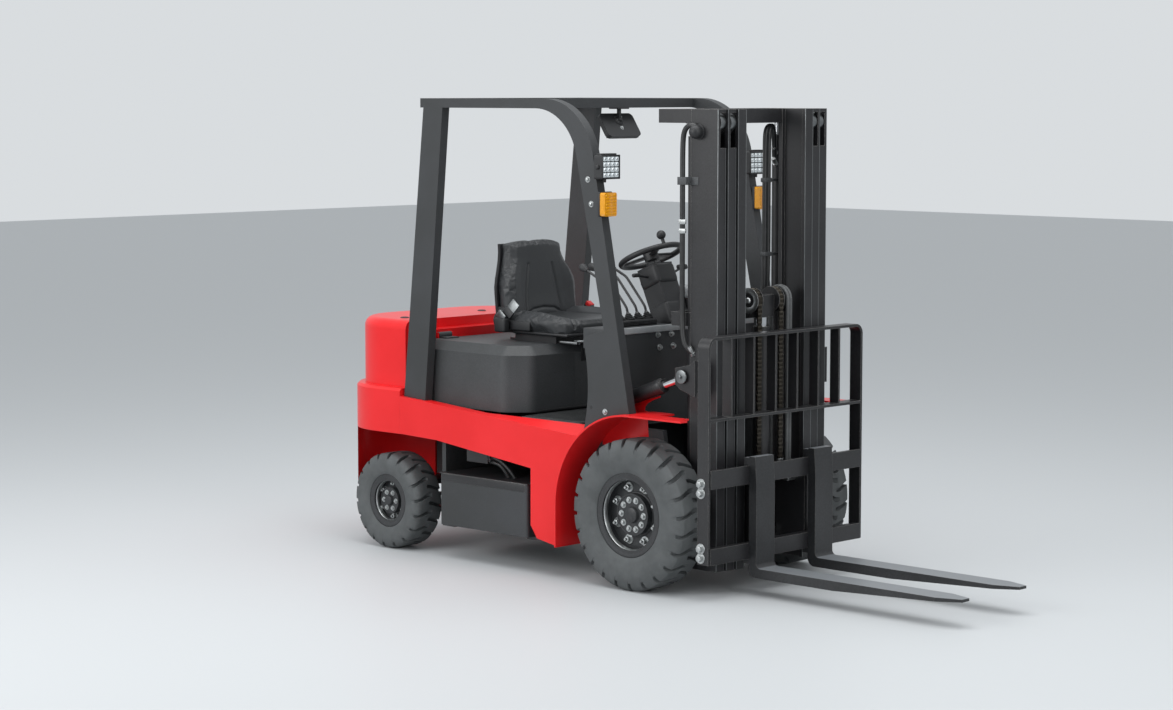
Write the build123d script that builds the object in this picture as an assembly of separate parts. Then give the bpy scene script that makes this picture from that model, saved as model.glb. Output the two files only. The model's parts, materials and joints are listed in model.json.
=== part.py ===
from build123d import *
import math
import os

# Counterbalance forklift truck with a three-stage mast. Millimetres.
# Modelled from the floor under the front axle: X forward, Y left, Z up.
# Each node is moved by SHIFT_X when written, so the truck is centred on the origin.

# Overall layout
OVERALL_WIDTH = 1150.0
HALF_WIDTH = OVERALL_WIDTH / 2
WHEELBASE = 1600.0
REAR_OVERHANG = 400.0
LOAD_DISTANCE = 482.0
RUN_FIT = 0.3
SLIDE_FIT = 0.3
MOVE_GAP = 5.0

# Wheels
FRONT_TYRE_R = 334.0
FRONT_TYRE_W = 188.0
FRONT_RIM_R = 168.0
REAR_TYRE_R = 228.5
REAR_TYRE_W = 173.0
REAR_RIM_R = 108.0
REAR_TRACK = OVERALL_WIDTH - 226.0
RIM_LIP = 18.0
RIM_WALL = 12.0
HUB_R = 92.0
STUB_R = 55.0
FRONT_BLOCKS = 24
REAR_BLOCKS = 18
TREAD_GROOVE = 0.048
TREAD_DEPTH = 0.066
TREAD_SLANT = 14.0

# Steer axle
KINGPIN_IN = 127.0
KINGPIN_Y = REAR_TRACK / 2 - KINGPIN_IN
KINGPIN_R = 16.0
BOSS_R = 34.0
AXLE_PLATE = 25.0
AXLE_GAP = 113.0
SPINDLE_R = 26.0
ARM_LENGTH = 80.0
ARM_PIN_R = 10.0
LINK_LENGTH = 145.0
LINK_BOW = 36.0
LINK_HALF = 13.0
STEER_ROD_R = 11.0
STEER_BARREL_R = 34.0
TRUNNION_R = 28.0
TRUNNION_RISE = 117.0
CRADLE_OFFSET = 125.0
CRADLE_BLOCK = 40.0

# Frame
FRAME_HALF = HALF_WIDTH - 25.0
FRAME_WALL = 60.0
FRAME_BOTTOM = 143.0
FRAME_REAR_X = -1490.0
BEAM_TOP_REAR = 740.0
BEAM_TOP_FRONT = 652.0
BAY_REAR_X = -1235.0
BAY_FRONT_X = -610.0
BEAM_LOW_REAR = 553.0
BEAM_LOW_FRONT = 482.0
ARCH_R = 440.0
FENDER_WALL = 8.0
FENDER_LIP_X = 321.0
POST_NOTCH = 41.0
WHEEL_CLEAR = 35.0
INNER_PLATE_Y = HALF_WIDTH - FRONT_TYRE_W - WHEEL_CLEAR
INNER_PLATE = 26.0
BULKHEAD = 25.0
FLOOR_TOP = 700.0
FLOOR_PLATE = 6.0
DECK_TOP = 660.0
BATTERY_TOP = 400.0
BATTERY_LENGTH = 600.0
BATTERY_LEFT_Y = FRAME_HALF - 290.0
SHELF = 16.0

# Counterweight
CW_FRONT_X = -1420.0
CW_TOP = 1095.0
CW_LEDGE = 775.0
CW_INSET = 40.0
CW_CORNER_R = 0.6 * FRAME_HALF
CW_SKIRT = 560.0
CW_TAIL_Z = 270.0
WELL_R = 326.0
TOW_PIN_R = 17.0

# Hood and seat
HOOD_HALF = FRAME_HALF - 80.0
HOOD_REAR_X = -1395.0
HOOD_CORNER_X = -870.0
HOOD_FRONT_X = -750.0
HOOD_TOP = 1010.0
HOOD_BEVEL = 42.0
HOOD_CORNER_R = 70.0
HOOD_WALL = 8.0
HINGE_R = 8.0
SEAT_HALF = 235.0
SEAT_REAR_X = -1130.0
SEAT_FRONT_X = -690.0
SEAT_RISE = 40.0
CUSHION = 75.0
BACK_TOP = 1482.0
BACK_DEPTH = 95.0

# Overhead guard
GUARD_HALF = FRAME_HALF - 20.0
GUARD_BAR = 45.0
GUARD_TOP = 2141.0
GUARD_DEPTH = 43.0
GUARD_REAR_X = -1355.0
GUARD_CORNER_X = -286.0
GUARD_LEAN = 0.1946
GUARD_BEND_R = 305.0
GUARD_BEND_IN = 260.0
GUSSET_TOP = 1130.0
GUSSET_SLOPE = 36.0
GUSSET_REACH = 130.0
GUSSET_SAG = 33.0
GUSSET_FOOT = 118.0
GUSSET_CORNER_R = 16.0
ROOF_FRONT_X = -560.0
ROOF_BARS = 6
LAMP_WIDTH = 112.0
ROOF_BAR_W = 30.0
ROOF_BAR_D = 50.0
MIRROR_WIDTH = 218.0
MIRROR_HEIGHT = 124.0
MIRROR_THICK = 22.0
MIRROR_TILT = 34.0
MIRROR_DROP = 83.0
MIRROR_STEM = 7.0

# Cowl and controls
COWL_X = -165.0
COWL_TOP = 1130.0
COWL_SHELL = 10.0
COWL_SHELF_X = -340.0
COLUMN_LEAN = 24.0
WHEEL_HUB_X = -382.0
HUB_RISE = 295.0
WHEEL_HUB_Z = COWL_TOP + HUB_RISE
STEERING_R = 155.0
KNOB_ANGLE = -18.0
LEVER_COUNT = 4
LEVER_PITCH = 60.0

# Mast
MAST_HALF = INNER_PLATE_Y + 12.0
RAIL_W = 52.0
RAIL_GAP = 5.0
RAIL_STEP = 8.0
RAIL_DEPTH = 153.0
RAIL_REAR_X = 191.0
RAIL_FLANGE = 20.0
RAIL_WEB = 14.0
MAST_TOP = 2098.0
MAST_BOTTOM = 100.0
ROLLER_R = 50.0
NOTCH = 150.0
LIFT_X = 132.0
LIFT_Y = MAST_HALF - 84.0
LIFT_BARREL_R = 26.0
LIFT_ROD_R = 16.0
FREE_BARREL_R = 38.0
FREE_ROD_R = 24.0
SHEAVE_Z = 1262.0
FREE_BARREL_TOP = SHEAVE_Z - 117.0
SHEAVE_R = 48.0
SHEAVE_Y = 72.0
CHAIN_W = 28.0
CHAIN_T = 12.0
AXLE_TUBE_R = 70.0
TILT_PIN_X = 220.0
TILT_PIN_Z = 950.0
TILT_Y = INNER_PLATE_Y + 60.0
TILT_REAR_X = -280.0
TILT_REAR_Z = 772.0
TILT_BARREL_R = 33.0
TILT_ROD_R = 18.0
TILT_PIN_R = 16.0
TILT_EYE_W = 34.0
TILT_DRIFT = 7.0

# Carriage and forks
CARRIAGE_HALF = HALF_WIDTH - 55.0
BAR_DEPTH = 30.0
BAR_HEIGHT = 80.0
BAR_TOP = 566.0
CARRIAGE_HEIGHT = 407.0
BAR_LIP = 16.0
BAR_RABBET = 21.0
SIDE_PLATE = 18.0
POST_DEPTH = 62.0
POST_WALL = 12.0
BACKREST_TOP = 1134.0
BACKREST_LOW = 780.0
BACKREST_BARS = 6
FORK_LENGTH = 1070.0
FORK_W = 122.0
FORK_T = 42.0
FORK_OUTER_Y = 260.0
FORK_TOP = 121.0
FORK_SHANK_TOP = 606.0

# Derived positions
REAR_X = -(WHEELBASE + REAR_OVERHANG)
TIP_X = LOAD_DISTANCE + FORK_LENGTH
SHIFT_X = -(REAR_X + TIP_X) / 2
FRONT_Y = (OVERALL_WIDTH - FRONT_TYRE_W) / 2
REAR_Y = REAR_TRACK / 2
AXLE_Z = FRONT_TYRE_R
STEER_X = -WHEELBASE
STEER_Z = REAR_TYRE_R
PLATE_LOW = STEER_Z - AXLE_GAP / 2
PLATE_HIGH = STEER_Z + AXLE_GAP / 2
TRUNNION_Z = STEER_Z + TRUNNION_RISE
INNER_OUT_Y = INNER_PLATE_Y + INNER_PLATE
FLOOR_LOW = FLOOR_TOP - FLOOR_PLATE
BULK_FRONT_X = -(ARCH_R + 55)
RAIL_PITCH = RAIL_W + RAIL_GAP
MID_X = RAIL_REAR_X + RAIL_STEP
INNER_X = MID_X + RAIL_STEP
MID_HALF = MAST_HALF - RAIL_PITCH
INNER_HALF = MID_HALF - RAIL_PITCH
INNER_FREE = INNER_HALF - RAIL_W
SIDE_PLATE_Y = INNER_FREE - 48
INNER_MID_X = INNER_X + RAIL_DEPTH / 2
CHAIN_X = INNER_MID_X + SHEAVE_R
ROLLER_RUN = RAIL_FLANGE + ROLLER_R + RUN_FIT
FORK_BACK_X = LOAD_DISTANCE - FORK_T
BAR_FRONT_X = FORK_BACK_X - SLIDE_FIT
BAR_REAR_X = BAR_FRONT_X - BAR_DEPTH
BAR_LOW = BAR_TOP - CARRIAGE_HEIGHT
FORK_LOW = FORK_TOP - FORK_T
HINGE_X = CW_FRONT_X + 15
HINGE_Z = HOOD_TOP + 14
HINGE_Y = HOOD_HALF - 130
GUARD_IN = GUARD_HALF - GUARD_BAR
HOOD_BOTTOM = FLOOR_TOP + 6
CUSHION_LOW = HOOD_TOP + SEAT_RISE
CUSHION_TOP = CUSHION_LOW + CUSHION


def block(x0, x1, y0, y1, z0, z1):
    box = Box(x1 - x0, y1 - y0, z1 - z0)
    return Pos((x0 + x1) / 2, (y0 + y1) / 2, (z0 + z1) / 2) * box


def side_slab(points, y0, y1):
    face = make_face(Polyline(*points, close=True))
    return extrude(Plane.XZ.offset(-y0) * face, amount=-(y1 - y0))


def plan_slab(points, z0, z1):
    face = make_face(Polyline(*points, close=True))
    return extrude(Pos(0, 0, z0) * face, amount=z1 - z0)


def plan_bar(start, end, half, z0, z1):
    run = math.hypot(end[0] - start[0], end[1] - start[1])
    across_x = -(end[1] - start[1]) / run * half
    across_y = (end[0] - start[0]) / run * half
    return plan_slab([
        (start[0] + across_x, start[1] + across_y), (end[0] + across_x, end[1] + across_y),
        (end[0] - across_x, end[1] - across_y), (start[0] - across_x, start[1] - across_y),
    ], z0, z1)


def pin_x(y, z, r, x0, x1):
    return Pos((x0 + x1) / 2, y, z) * Rot(0, 90, 0) * Cylinder(r, x1 - x0)


def pin_y(x, z, r, y0, y1):
    return Pos(x, (y0 + y1) / 2, z) * Rot(90, 0, 0) * Cylinder(r, y1 - y0)


def pin_z(x, y, r, z0, z1):
    return Pos(x, y, (z0 + z1) / 2) * Cylinder(r, z1 - z0)


def bar_between(p, q, r):
    axis = Vector(*q) - Vector(*p)
    place = Plane(origin=p, z_dir=axis)
    return place * Pos(0, 0, axis.length / 2) * Cylinder(r, axis.length)


def mirrored(shape):
    return mirror(shape, about=Plane.XZ)


def pair(shape):
    return [shape, mirrored(shape)]


def lathe_y(points):
    return revolve(make_face(Polyline(*points, close=True)), axis=Axis.Y)


def facet_face(count, radius, y):
    plane = Plane(origin=(0, y, 0), x_dir=(1, 0, 0), z_dir=(0, 1, 0))
    return plane * RegularPolygon(radius, count)


def facet_step(count, start, end):
    low, high = sorted((start, end), key=lambda level: level[1])
    return loft([facet_face(count, *low), facet_face(count, *high)], ruled=True)


def tread_grooves(radius, width, blocks):
    reach = 0.5 * width + 12
    depth = TREAD_DEPTH * radius
    tools = []
    for i in range(blocks):
        for side, lane in ((-1, 0.75), (1, 0.25)):
            cut = Pos(radius - depth + 30, side * (0.25 * width + 4), 0) * Rot(side * TREAD_SLANT, 0, 0)
            tools.append(Rot(0, (i + lane) * 360 / blocks, 0) * cut * Box(60, reach, TREAD_GROOVE * radius))
    return tools


def tyre(radius, width, seat, blocks):
    count = 2 * blocks
    wide = (0.78 * radius, 0.5 * width)
    shoulder = (radius, 0.37 * width)
    body = facet_step(count, (radius, -shoulder[1]), shoulder)
    round_off = math.cos(math.pi / count)
    bore = seat / round_off
    lip = (seat + RIM_LIP) / round_off
    for side in (-1, 1):
        body = body + facet_step(count, (shoulder[0], side * shoulder[1]), (wide[0], side * wide[1]))
    for side in (-1, 1):
        body = body - facet_step(count, (lip, side * 0.36 * width), (wide[0], side * wide[1]))
    body = body - facet_step(count, (bore, -width), (bore, width))
    return body - tread_grooves(radius, width, blocks)


FRONT_TREAD = tyre(FRONT_TYRE_R, FRONT_TYRE_W, FRONT_RIM_R, FRONT_BLOCKS)
REAR_TREAD = tyre(REAR_TYRE_R, REAR_TYRE_W, REAR_RIM_R, REAR_BLOCKS)


def rim(radius, width, hub_r, stub_r, hub_in, hub_out, disc):
    edge = 0.36 * width
    lip = 0.40 * width
    inner = radius - RIM_WALL
    barrel = lathe_y([
        (inner, -lip), (radius + RIM_LIP, -lip), (radius + RIM_LIP, -edge), (radius, -edge),
        (radius, edge), (radius + RIM_LIP, edge), (radius + RIM_LIP, lip), (inner, lip),
    ])
    plate = lathe_y([(hub_r - 5, disc), (inner + 2, disc), (inner + 2, disc + 14), (hub_r - 5, disc + 14)])
    hub = lathe_y([
        (0, hub_out), (hub_r, hub_out), (hub_r, hub_in), (stub_r + RUN_FIT, hub_in),
        (stub_r + RUN_FIT, hub_out - 25), (0, hub_out - 25),
    ])
    return barrel + plate + hub


def front_wheel(side):
    tread = FRONT_TREAD if side > 0 else mirrored(FRONT_TREAD)
    disc = rim(FRONT_RIM_R, FRONT_TYRE_W, HUB_R, STUB_R, -55, 45, 0)
    if side < 0:
        disc = mirrored(disc)
    place = Pos(0, side * FRONT_Y, AXLE_Z)
    return place * tread, place * disc


def rear_wheel(side):
    tread = REAR_TREAD if side > 0 else mirrored(REAR_TREAD)
    disc = rim(REAR_RIM_R, REAR_TYRE_W, 62, SPINDLE_R, -45, 55, 8)
    if side < 0:
        disc = mirrored(disc)
    place = Pos(STEER_X, side * REAR_Y, STEER_Z)
    return place * tread, place * disc


def drive_axle():
    tube = pin_y(0, AXLE_Z, AXLE_TUBE_R, -FRONT_Y + 80, FRONT_Y - 80)
    case = block(-140, 110, -175, 175, AXLE_Z - 125, AXLE_Z + 125)
    motor = block(-430, -140, -150, 150, AXLE_Z - 100, AXLE_Z + 150)
    body = tube + case + motor
    for side in (-1, 1):
        inner = FRONT_Y - 96
        drum = pin_y(0, AXLE_Z, 128, inner, inner + 32)
        stub = pin_y(0, AXLE_Z, STUB_R, inner + 30, FRONT_Y + 14)
        ends = drum + stub
        body = body + (ends if side > 0 else mirrored(ends))
    return body


def steer_axle():
    front = STEER_X + 120
    outline = [
        (front, -80), (front, 80), (STEER_X + 60, 165), (STEER_X + BOSS_R, KINGPIN_Y),
        (STEER_X - BOSS_R, KINGPIN_Y), (STEER_X - 70, 150), (STEER_X - 70, -150),
        (STEER_X - BOSS_R, -KINGPIN_Y), (STEER_X + BOSS_R, -KINGPIN_Y), (STEER_X + 60, -165),
    ]
    low = plan_slab(outline, PLATE_LOW - AXLE_PLATE, PLATE_LOW)
    high = plan_slab(outline, PLATE_HIGH, PLATE_HIGH + AXLE_PLATE)
    for y in (-KINGPIN_Y, KINGPIN_Y):
        low = low + pin_z(STEER_X, y, BOSS_R, PLATE_LOW - AXLE_PLATE, PLATE_LOW)
        high = high + pin_z(STEER_X, y, BOSS_R, PLATE_HIGH, PLATE_HIGH + AXLE_PLATE)
    web = block(STEER_X - 60, STEER_X + 30, -85, 85, PLATE_LOW, PLATE_HIGH)
    barrel_x = STEER_X + ARM_LENGTH
    barrel = pin_y(barrel_x, STEER_Z, STEER_BARREL_R, -80, 80)
    saddle = block(STEER_X + 25, barrel_x, -30, 30, PLATE_LOW, PLATE_HIGH)
    saddle2 = block(barrel_x - 15, barrel_x + 15, -30, 30, PLATE_LOW, PLATE_HIGH)
    reach = CRADLE_OFFSET + CRADLE_BLOCK
    head = block(STEER_X - 70, STEER_X + 70, -55, 55, PLATE_HIGH + AXLE_PLATE, TRUNNION_Z + TRUNNION_R)
    trunnion = pin_x(0, TRUNNION_Z, TRUNNION_R, STEER_X - reach, STEER_X + reach)
    body = low + high + web + barrel + saddle + saddle2 + head + trunnion
    body = body - pin_y(barrel_x, STEER_Z, STEER_ROD_R + RUN_FIT, -90, 90)
    for y in (-KINGPIN_Y, KINGPIN_Y):
        body = body - pin_z(STEER_X, y, KINGPIN_R + RUN_FIT, 0, 2 * STEER_Z)
    return body


def axle_cradle():
    reach = CRADLE_OFFSET + CRADLE_BLOCK
    spine = block(STEER_X - reach, BAY_REAR_X - BULKHEAD, -110, 110, CW_SKIRT - 55, CW_SKIRT)
    top = CW_SKIRT - 55
    low = TRUNNION_Z - TRUNNION_R - 18
    for x in (STEER_X - reach, STEER_X + CRADLE_OFFSET):
        hanger = block(x, x + CRADLE_BLOCK, -60, 60, low, top)
        spine = spine + hanger
    return spine - pin_x(0, TRUNNION_Z, TRUNNION_R + RUN_FIT, STEER_X - reach - 1, STEER_X + reach + 1)


def knuckle(side):
    core = pin_z(STEER_X, KINGPIN_Y, BOSS_R, PLATE_LOW + MOVE_GAP, PLATE_HIGH - MOVE_GAP)
    kingpin = pin_z(STEER_X, KINGPIN_Y, KINGPIN_R, PLATE_LOW - AXLE_PLATE - 6, PLATE_HIGH + AXLE_PLATE + 6)
    spindle = bar_between((STEER_X, KINGPIN_Y, STEER_Z), (STEER_X, REAR_Y + 28, STEER_Z), SPINDLE_R)
    arm = block(STEER_X, STEER_X + ARM_LENGTH, KINGPIN_Y - 17, KINGPIN_Y + 17, STEER_Z - 10, STEER_Z + 12)
    arm = arm + pin_z(STEER_X + ARM_LENGTH, KINGPIN_Y, 17, STEER_Z - 10, STEER_Z + 12)
    pin = pin_z(STEER_X + ARM_LENGTH, KINGPIN_Y, ARM_PIN_R, STEER_Z - 10, STEER_Z + 34)
    body = core + kingpin + spindle + arm + pin
    return body if side > 0 else mirrored(body)


def steer_link(side):
    x = STEER_X + ARM_LENGTH
    low = STEER_Z + 12 + RUN_FIT
    high = low + 16
    inner = KINGPIN_Y - LINK_LENGTH
    corners = [
        (x, KINGPIN_Y), (x + LINK_BOW, KINGPIN_Y - 0.38 * LINK_LENGTH),
        (x + LINK_BOW, inner + 0.31 * LINK_LENGTH), (x, inner),
    ]
    body = pin_z(x, KINGPIN_Y, 18, low, high) + pin_z(x, inner, 15, low, high)
    for start, end in zip(corners, corners[1:]):
        body = body + plan_bar(start, end, LINK_HALF, low, high) + pin_z(*end, LINK_HALF, low, high)
    body = body - pin_z(x, KINGPIN_Y, ARM_PIN_R + RUN_FIT, low - 1, high + 1)
    return body if side > 0 else mirrored(body)


def steer_rod():
    x = STEER_X + ARM_LENGTH
    end = KINGPIN_Y - LINK_LENGTH
    rod = pin_y(x, STEER_Z, STEER_ROD_R, -end, end)
    for side in (-1, 1):
        y = side * end
        rod = rod + block(x - 15, x + 15, y - 13, y + 13, STEER_Z - 14, STEER_Z + 12)
    return rod


def beam_top(x):
    share = (x - FRAME_REAR_X) / (-300 - FRAME_REAR_X)
    return BEAM_TOP_REAR + share * (BEAM_TOP_FRONT - BEAM_TOP_REAR)


def side_frame():
    top_front = -math.sqrt(ARCH_R ** 2 - (BEAM_TOP_FRONT - AXLE_Z) ** 2)
    outline = [
        (FRAME_REAR_X, beam_top(FRAME_REAR_X)), (top_front + 40, beam_top(top_front + 40)),
        (top_front + 40, FRAME_BOTTOM), (-ARCH_R + 5, FRAME_BOTTOM), (BAY_FRONT_X + 40, FRAME_BOTTOM + 24),
        (BAY_FRONT_X, FRAME_BOTTOM + 80), (BAY_FRONT_X, BEAM_LOW_FRONT), (BAY_REAR_X, BEAM_LOW_REAR),
        (FRAME_REAR_X, BEAM_LOW_REAR + 8),
    ]
    plate = side_slab(outline, FRAME_HALF - FRAME_WALL, FRAME_HALF)
    arch = pin_y(0, AXLE_Z, ARCH_R, 0, OVERALL_WIDTH)
    below = block(-ARCH_R, 0, 0, OVERALL_WIDTH, 0, AXLE_Z)
    return plate - arch - below


def fender():
    inside = ARCH_R - FENDER_WALL
    outer = OVERALL_WIDTH / 2 - MOVE_GAP
    ring = pin_y(0, AXLE_Z, ARCH_R, INNER_OUT_Y, outer) - pin_y(0, AXLE_Z, inside, 0, OVERALL_WIDTH)
    ring = ring - block(0, 2 * ARCH_R, 0, OVERALL_WIDTH, -ARCH_R, 3 * ARCH_R)
    ring = ring - block(-2 * ARCH_R, 0, 0, OVERALL_WIDTH, -ARCH_R, AXLE_Z)
    back = block(-ARCH_R, -inside, INNER_OUT_Y, outer, FRAME_BOTTOM, AXLE_Z)
    top = AXLE_Z + ARCH_R
    lip = block(0, FENDER_LIP_X, INNER_OUT_Y, outer, top - FENDER_WALL, top)
    lip = lip - block(TILT_PIN_X - 110, FENDER_LIP_X + 1, 0, TILT_Y + 60, 0, 3 * ARCH_R)
    lip = lip - block(FENDER_LIP_X - POST_NOTCH, FENDER_LIP_X + 1, 0, CARRIAGE_HALF + 8, 0, 3 * ARCH_R)
    return ring + back + lip


def chassis_frame():
    low = FRAME_BOTTOM + 20
    reach = AXLE_TUBE_R + 15
    inner = [
        (BULK_FRONT_X, low), (TILT_REAR_X - 20, low), (-reach - 5, AXLE_Z - reach - 30),
        (reach, AXLE_Z - reach - 30), (reach, AXLE_Z + reach + 45),
        (40, FLOOR_LOW), (TILT_REAR_X + 75, FLOOR_LOW), (TILT_REAR_X + 32, TILT_REAR_Z + 40),
        (TILT_REAR_X - 32, TILT_REAR_Z + 40), (TILT_REAR_X - 75, FLOOR_LOW), (BULK_FRONT_X, FLOOR_LOW),
    ]
    plate = side_slab(inner, INNER_PLATE_Y, INNER_OUT_Y)
    plate = plate - pin_y(0, AXLE_Z, AXLE_TUBE_R, 0, OVERALL_WIDTH)
    plate = plate + pin_y(TILT_REAR_X, TILT_REAR_Z, TILT_PIN_R, INNER_OUT_Y - 2, TILT_Y + TILT_EYE_W / 2 + 10)
    body = plate + mirrored(plate)
    half = FRAME_HALF - FRAME_WALL
    body = body + block(BULK_FRONT_X - BULKHEAD, BULK_FRONT_X, -half, half, low, FLOOR_LOW)
    body = body + block(BAY_REAR_X - BULKHEAD, BAY_REAR_X, -half, half, low, DECK_TOP)
    deck_rear = CW_FRONT_X + 10
    body = body + block(deck_rear, BULK_FRONT_X - BULKHEAD, -half, half, DECK_TOP - 12, DECK_TOP)
    body = body + block(BAY_REAR_X, BAY_REAR_X + 60, -half, half, low - 20, low - 20 + SHELF)
    rest = BAY_REAR_X + BATTERY_LENGTH
    body = body + block(rest - 60, BULK_FRONT_X, -half, half, low - 20, low - 20 + SHELF)
    body = body + block(BAY_REAR_X - BULKHEAD, BAY_REAR_X, -half, half, low - 20, low)
    body = body + block(BULK_FRONT_X - BULKHEAD, BULK_FRONT_X, -half, half, low - 20, low)
    return body


def battery():
    rear = BAY_REAR_X + 12
    low = FRAME_BOTTOM + SHELF
    case = block(rear, rear + BATTERY_LENGTH - 20, -FRAME_HALF + 10, BATTERY_LEFT_Y, low, BATTERY_TOP)
    return fillet(case.edges().filter_by(Axis.Z), 14)


def entry_step():
    front = BAY_FRONT_X - 20
    rear = BAY_REAR_X + 60
    outer = FRAME_HALF + 12
    inner = BATTERY_LEFT_Y + 60
    tread = block(rear, front, inner, outer, 372, 384)
    for x in (rear, front - 10):
        cheek = block(x, x + 10, inner, FRAME_HALF - FRAME_WALL, 384, DECK_TOP - 12)
        tread = tread + cheek
    return tread


def floor_plate():
    rear = HOOD_FRONT_X + 14
    ear = TILT_REAR_X - 85
    wide = FRAME_HALF - FRAME_WALL
    outline = [
        (rear, -wide), (ear, -wide), (ear, -INNER_PLATE_Y), (COWL_X, -INNER_PLATE_Y),
        (COWL_X, INNER_PLATE_Y), (ear, INNER_PLATE_Y), (ear, wide), (rear, wide),
    ]
    return plan_slab(outline, FLOOR_LOW, FLOOR_TOP)


def cw_outline(half, rear, front, corner):
    face = make_face(Polyline((front, -half), (front, half), (rear, half), (rear, -half), close=True))
    corners = face.vertices().sort_by(Axis.X)[:2]
    return fillet(corners, corner)


def counterweight():
    base = cw_outline(FRAME_HALF, REAR_X, FRAME_REAR_X, CW_CORNER_R)
    band = extrude(Pos(0, 0, CW_TAIL_Z) * base, amount=CW_LEDGE - CW_TAIL_Z)
    band = chamfer(band.faces().sort_by(Axis.Z)[-1].edges().sort_by(Axis.X)[:-1], 12)
    upper = cw_outline(FRAME_HALF - CW_INSET, REAR_X + CW_INSET, FRAME_REAR_X, CW_CORNER_R - CW_INSET)
    crown = extrude(Pos(0, 0, CW_LEDGE - 30) * upper, amount=CW_TOP - CW_LEDGE + 30)
    rim_edges = crown.faces().sort_by(Axis.Z)[-1].edges().sort_by(Axis.X)[:-1]
    crown = fillet(rim_edges, 45)
    throat_half = HOOD_HALF - MOVE_GAP
    throat = block(FRAME_REAR_X - 60, CW_FRONT_X, -throat_half, throat_half, DECK_TOP, CW_TOP - 45)
    body = band + crown + throat
    body = body - block(FRAME_REAR_X + 0.01, CW_FRONT_X + 1, -throat_half, throat_half, 0, DECK_TOP)
    wells = None
    for y in (-KINGPIN_Y, KINGPIN_Y):
        well = pin_z(STEER_X, y, WELL_R, 0, CW_SKIRT)
        wells = well if wells is None else wells + well
    reach = CRADLE_OFFSET + CRADLE_BLOCK
    body = body - wells
    body = body - block(STEER_X - reach - 10, 0, -OVERALL_WIDTH, OVERALL_WIDTH, 0, CW_SKIRT)
    body = body - block(REAR_X - 1, REAR_X + 110, -80, 80, CW_TAIL_Z + 90, CW_TAIL_Z + 170)
    body = body - block(REAR_X - 1, REAR_X + 90, -50, 50, CW_TAIL_Z + 210, CW_LEDGE - 75)
    body = body - block(REAR_X - 1, REAR_X + 110, -90, 90, 0, CW_TAIL_Z + 45)
    body = body - pin_z(REAR_X + 50, 0, TOW_PIN_R, 0, 600)
    for y in (-HINGE_Y, HINGE_Y):
        for end in (y - 50, y + 41):
            body = body + block(CW_FRONT_X - 1, HINGE_X + 10, end, end + 9, HINGE_Z - 14, HINGE_Z + 12)
        body = body + pin_y(HINGE_X, HINGE_Z, HINGE_R, y - 45, y + 45)
    return body


def hood_form(inset, z0, z1, bevel, rear):
    half = HOOD_HALF - inset
    front = HOOD_FRONT_X - inset
    corner = HOOD_CORNER_X - inset
    outline = [
        (rear, -half), (corner, -half), (front - 20, -half + 95), (front, -120), (front, 120),
        (front - 20, half - 95), (corner, half), (rear, half),
    ]
    form = plan_slab(outline, z0, z1)
    uprights = form.edges().filter_by(Axis.Z).sort_by(Axis.X)[2:]
    form = fillet(uprights, HOOD_CORNER_R - inset)
    edges = form.faces().sort_by(Axis.Z)[-1].edges().sort_by(Axis.X)[1:]
    return chamfer(edges, bevel)


def hood():
    shell = hood_form(0, HOOD_BOTTOM, HOOD_TOP, HOOD_BEVEL, HOOD_REAR_X)
    hollow = hood_form(HOOD_WALL, HOOD_BOTTOM - 10, HOOD_TOP - HOOD_WALL, HOOD_BEVEL, HOOD_REAR_X - 10)
    body = shell - hollow
    for y in (-HINGE_Y, HINGE_Y):
        leaf = block(HINGE_X, HOOD_REAR_X + 50, y - 40, y + 40, HOOD_TOP, HOOD_TOP + 6)
        curl = pin_y(HINGE_X, HINGE_Z, HINGE_R + 6, y - 40, y + 40)
        body = body + leaf + curl - pin_y(HINGE_X, HINGE_Z, HINGE_R + RUN_FIT, y - 41, y + 41)
    return body


def power_pack():
    low = DECK_TOP
    half = HOOD_HALF - 170
    case = block(HOOD_CORNER_X - 190, HOOD_FRONT_X - 50, -half, half, low, HOOD_TOP - 70)
    tank = block(HOOD_REAR_X + 135, HOOD_CORNER_X - 200, -half, half - 180, low, HOOD_BOTTOM + 40)
    return case + tank


def seat_base():
    x0 = SEAT_REAR_X + 60
    x1 = SEAT_FRONT_X - 50
    x1 = min(x1, HOOD_FRONT_X - HOOD_BEVEL - 8)
    return block(x0, x1, -SEAT_HALF + 40, SEAT_HALF - 40, HOOD_TOP, CUSHION_LOW)


def seat_cushion():
    pad = block(SEAT_REAR_X + 20, SEAT_FRONT_X, -SEAT_HALF, SEAT_HALF, CUSHION_LOW, CUSHION_TOP)
    pad = fillet(pad.edges().filter_by(Axis.Z), 50)
    return fillet(pad.faces().sort_by(Axis.Z)[-1].edges(), 18)


def seat_backrest():
    lean = 80.0
    low = CUSHION_TOP - 8
    seat_x = SEAT_REAR_X + 20 - RUN_FIT
    points = [
        (seat_x, CUSHION_LOW), (seat_x, CUSHION_TOP + RUN_FIT), (SEAT_REAR_X + 50, CUSHION_TOP + RUN_FIT),
        (SEAT_REAR_X + BACK_DEPTH - lean, BACK_TOP), (SEAT_REAR_X - lean + 25, BACK_TOP),
        (SEAT_REAR_X - 60, low),
    ]
    pad = side_slab(points, -SEAT_HALF + 5, SEAT_HALF - 5)
    return pad


def corner_at(face, x, y):
    return [v for v in face.vertices() if abs(v.X - x) < 1 and abs(v.Y - y) < 1]


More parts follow.
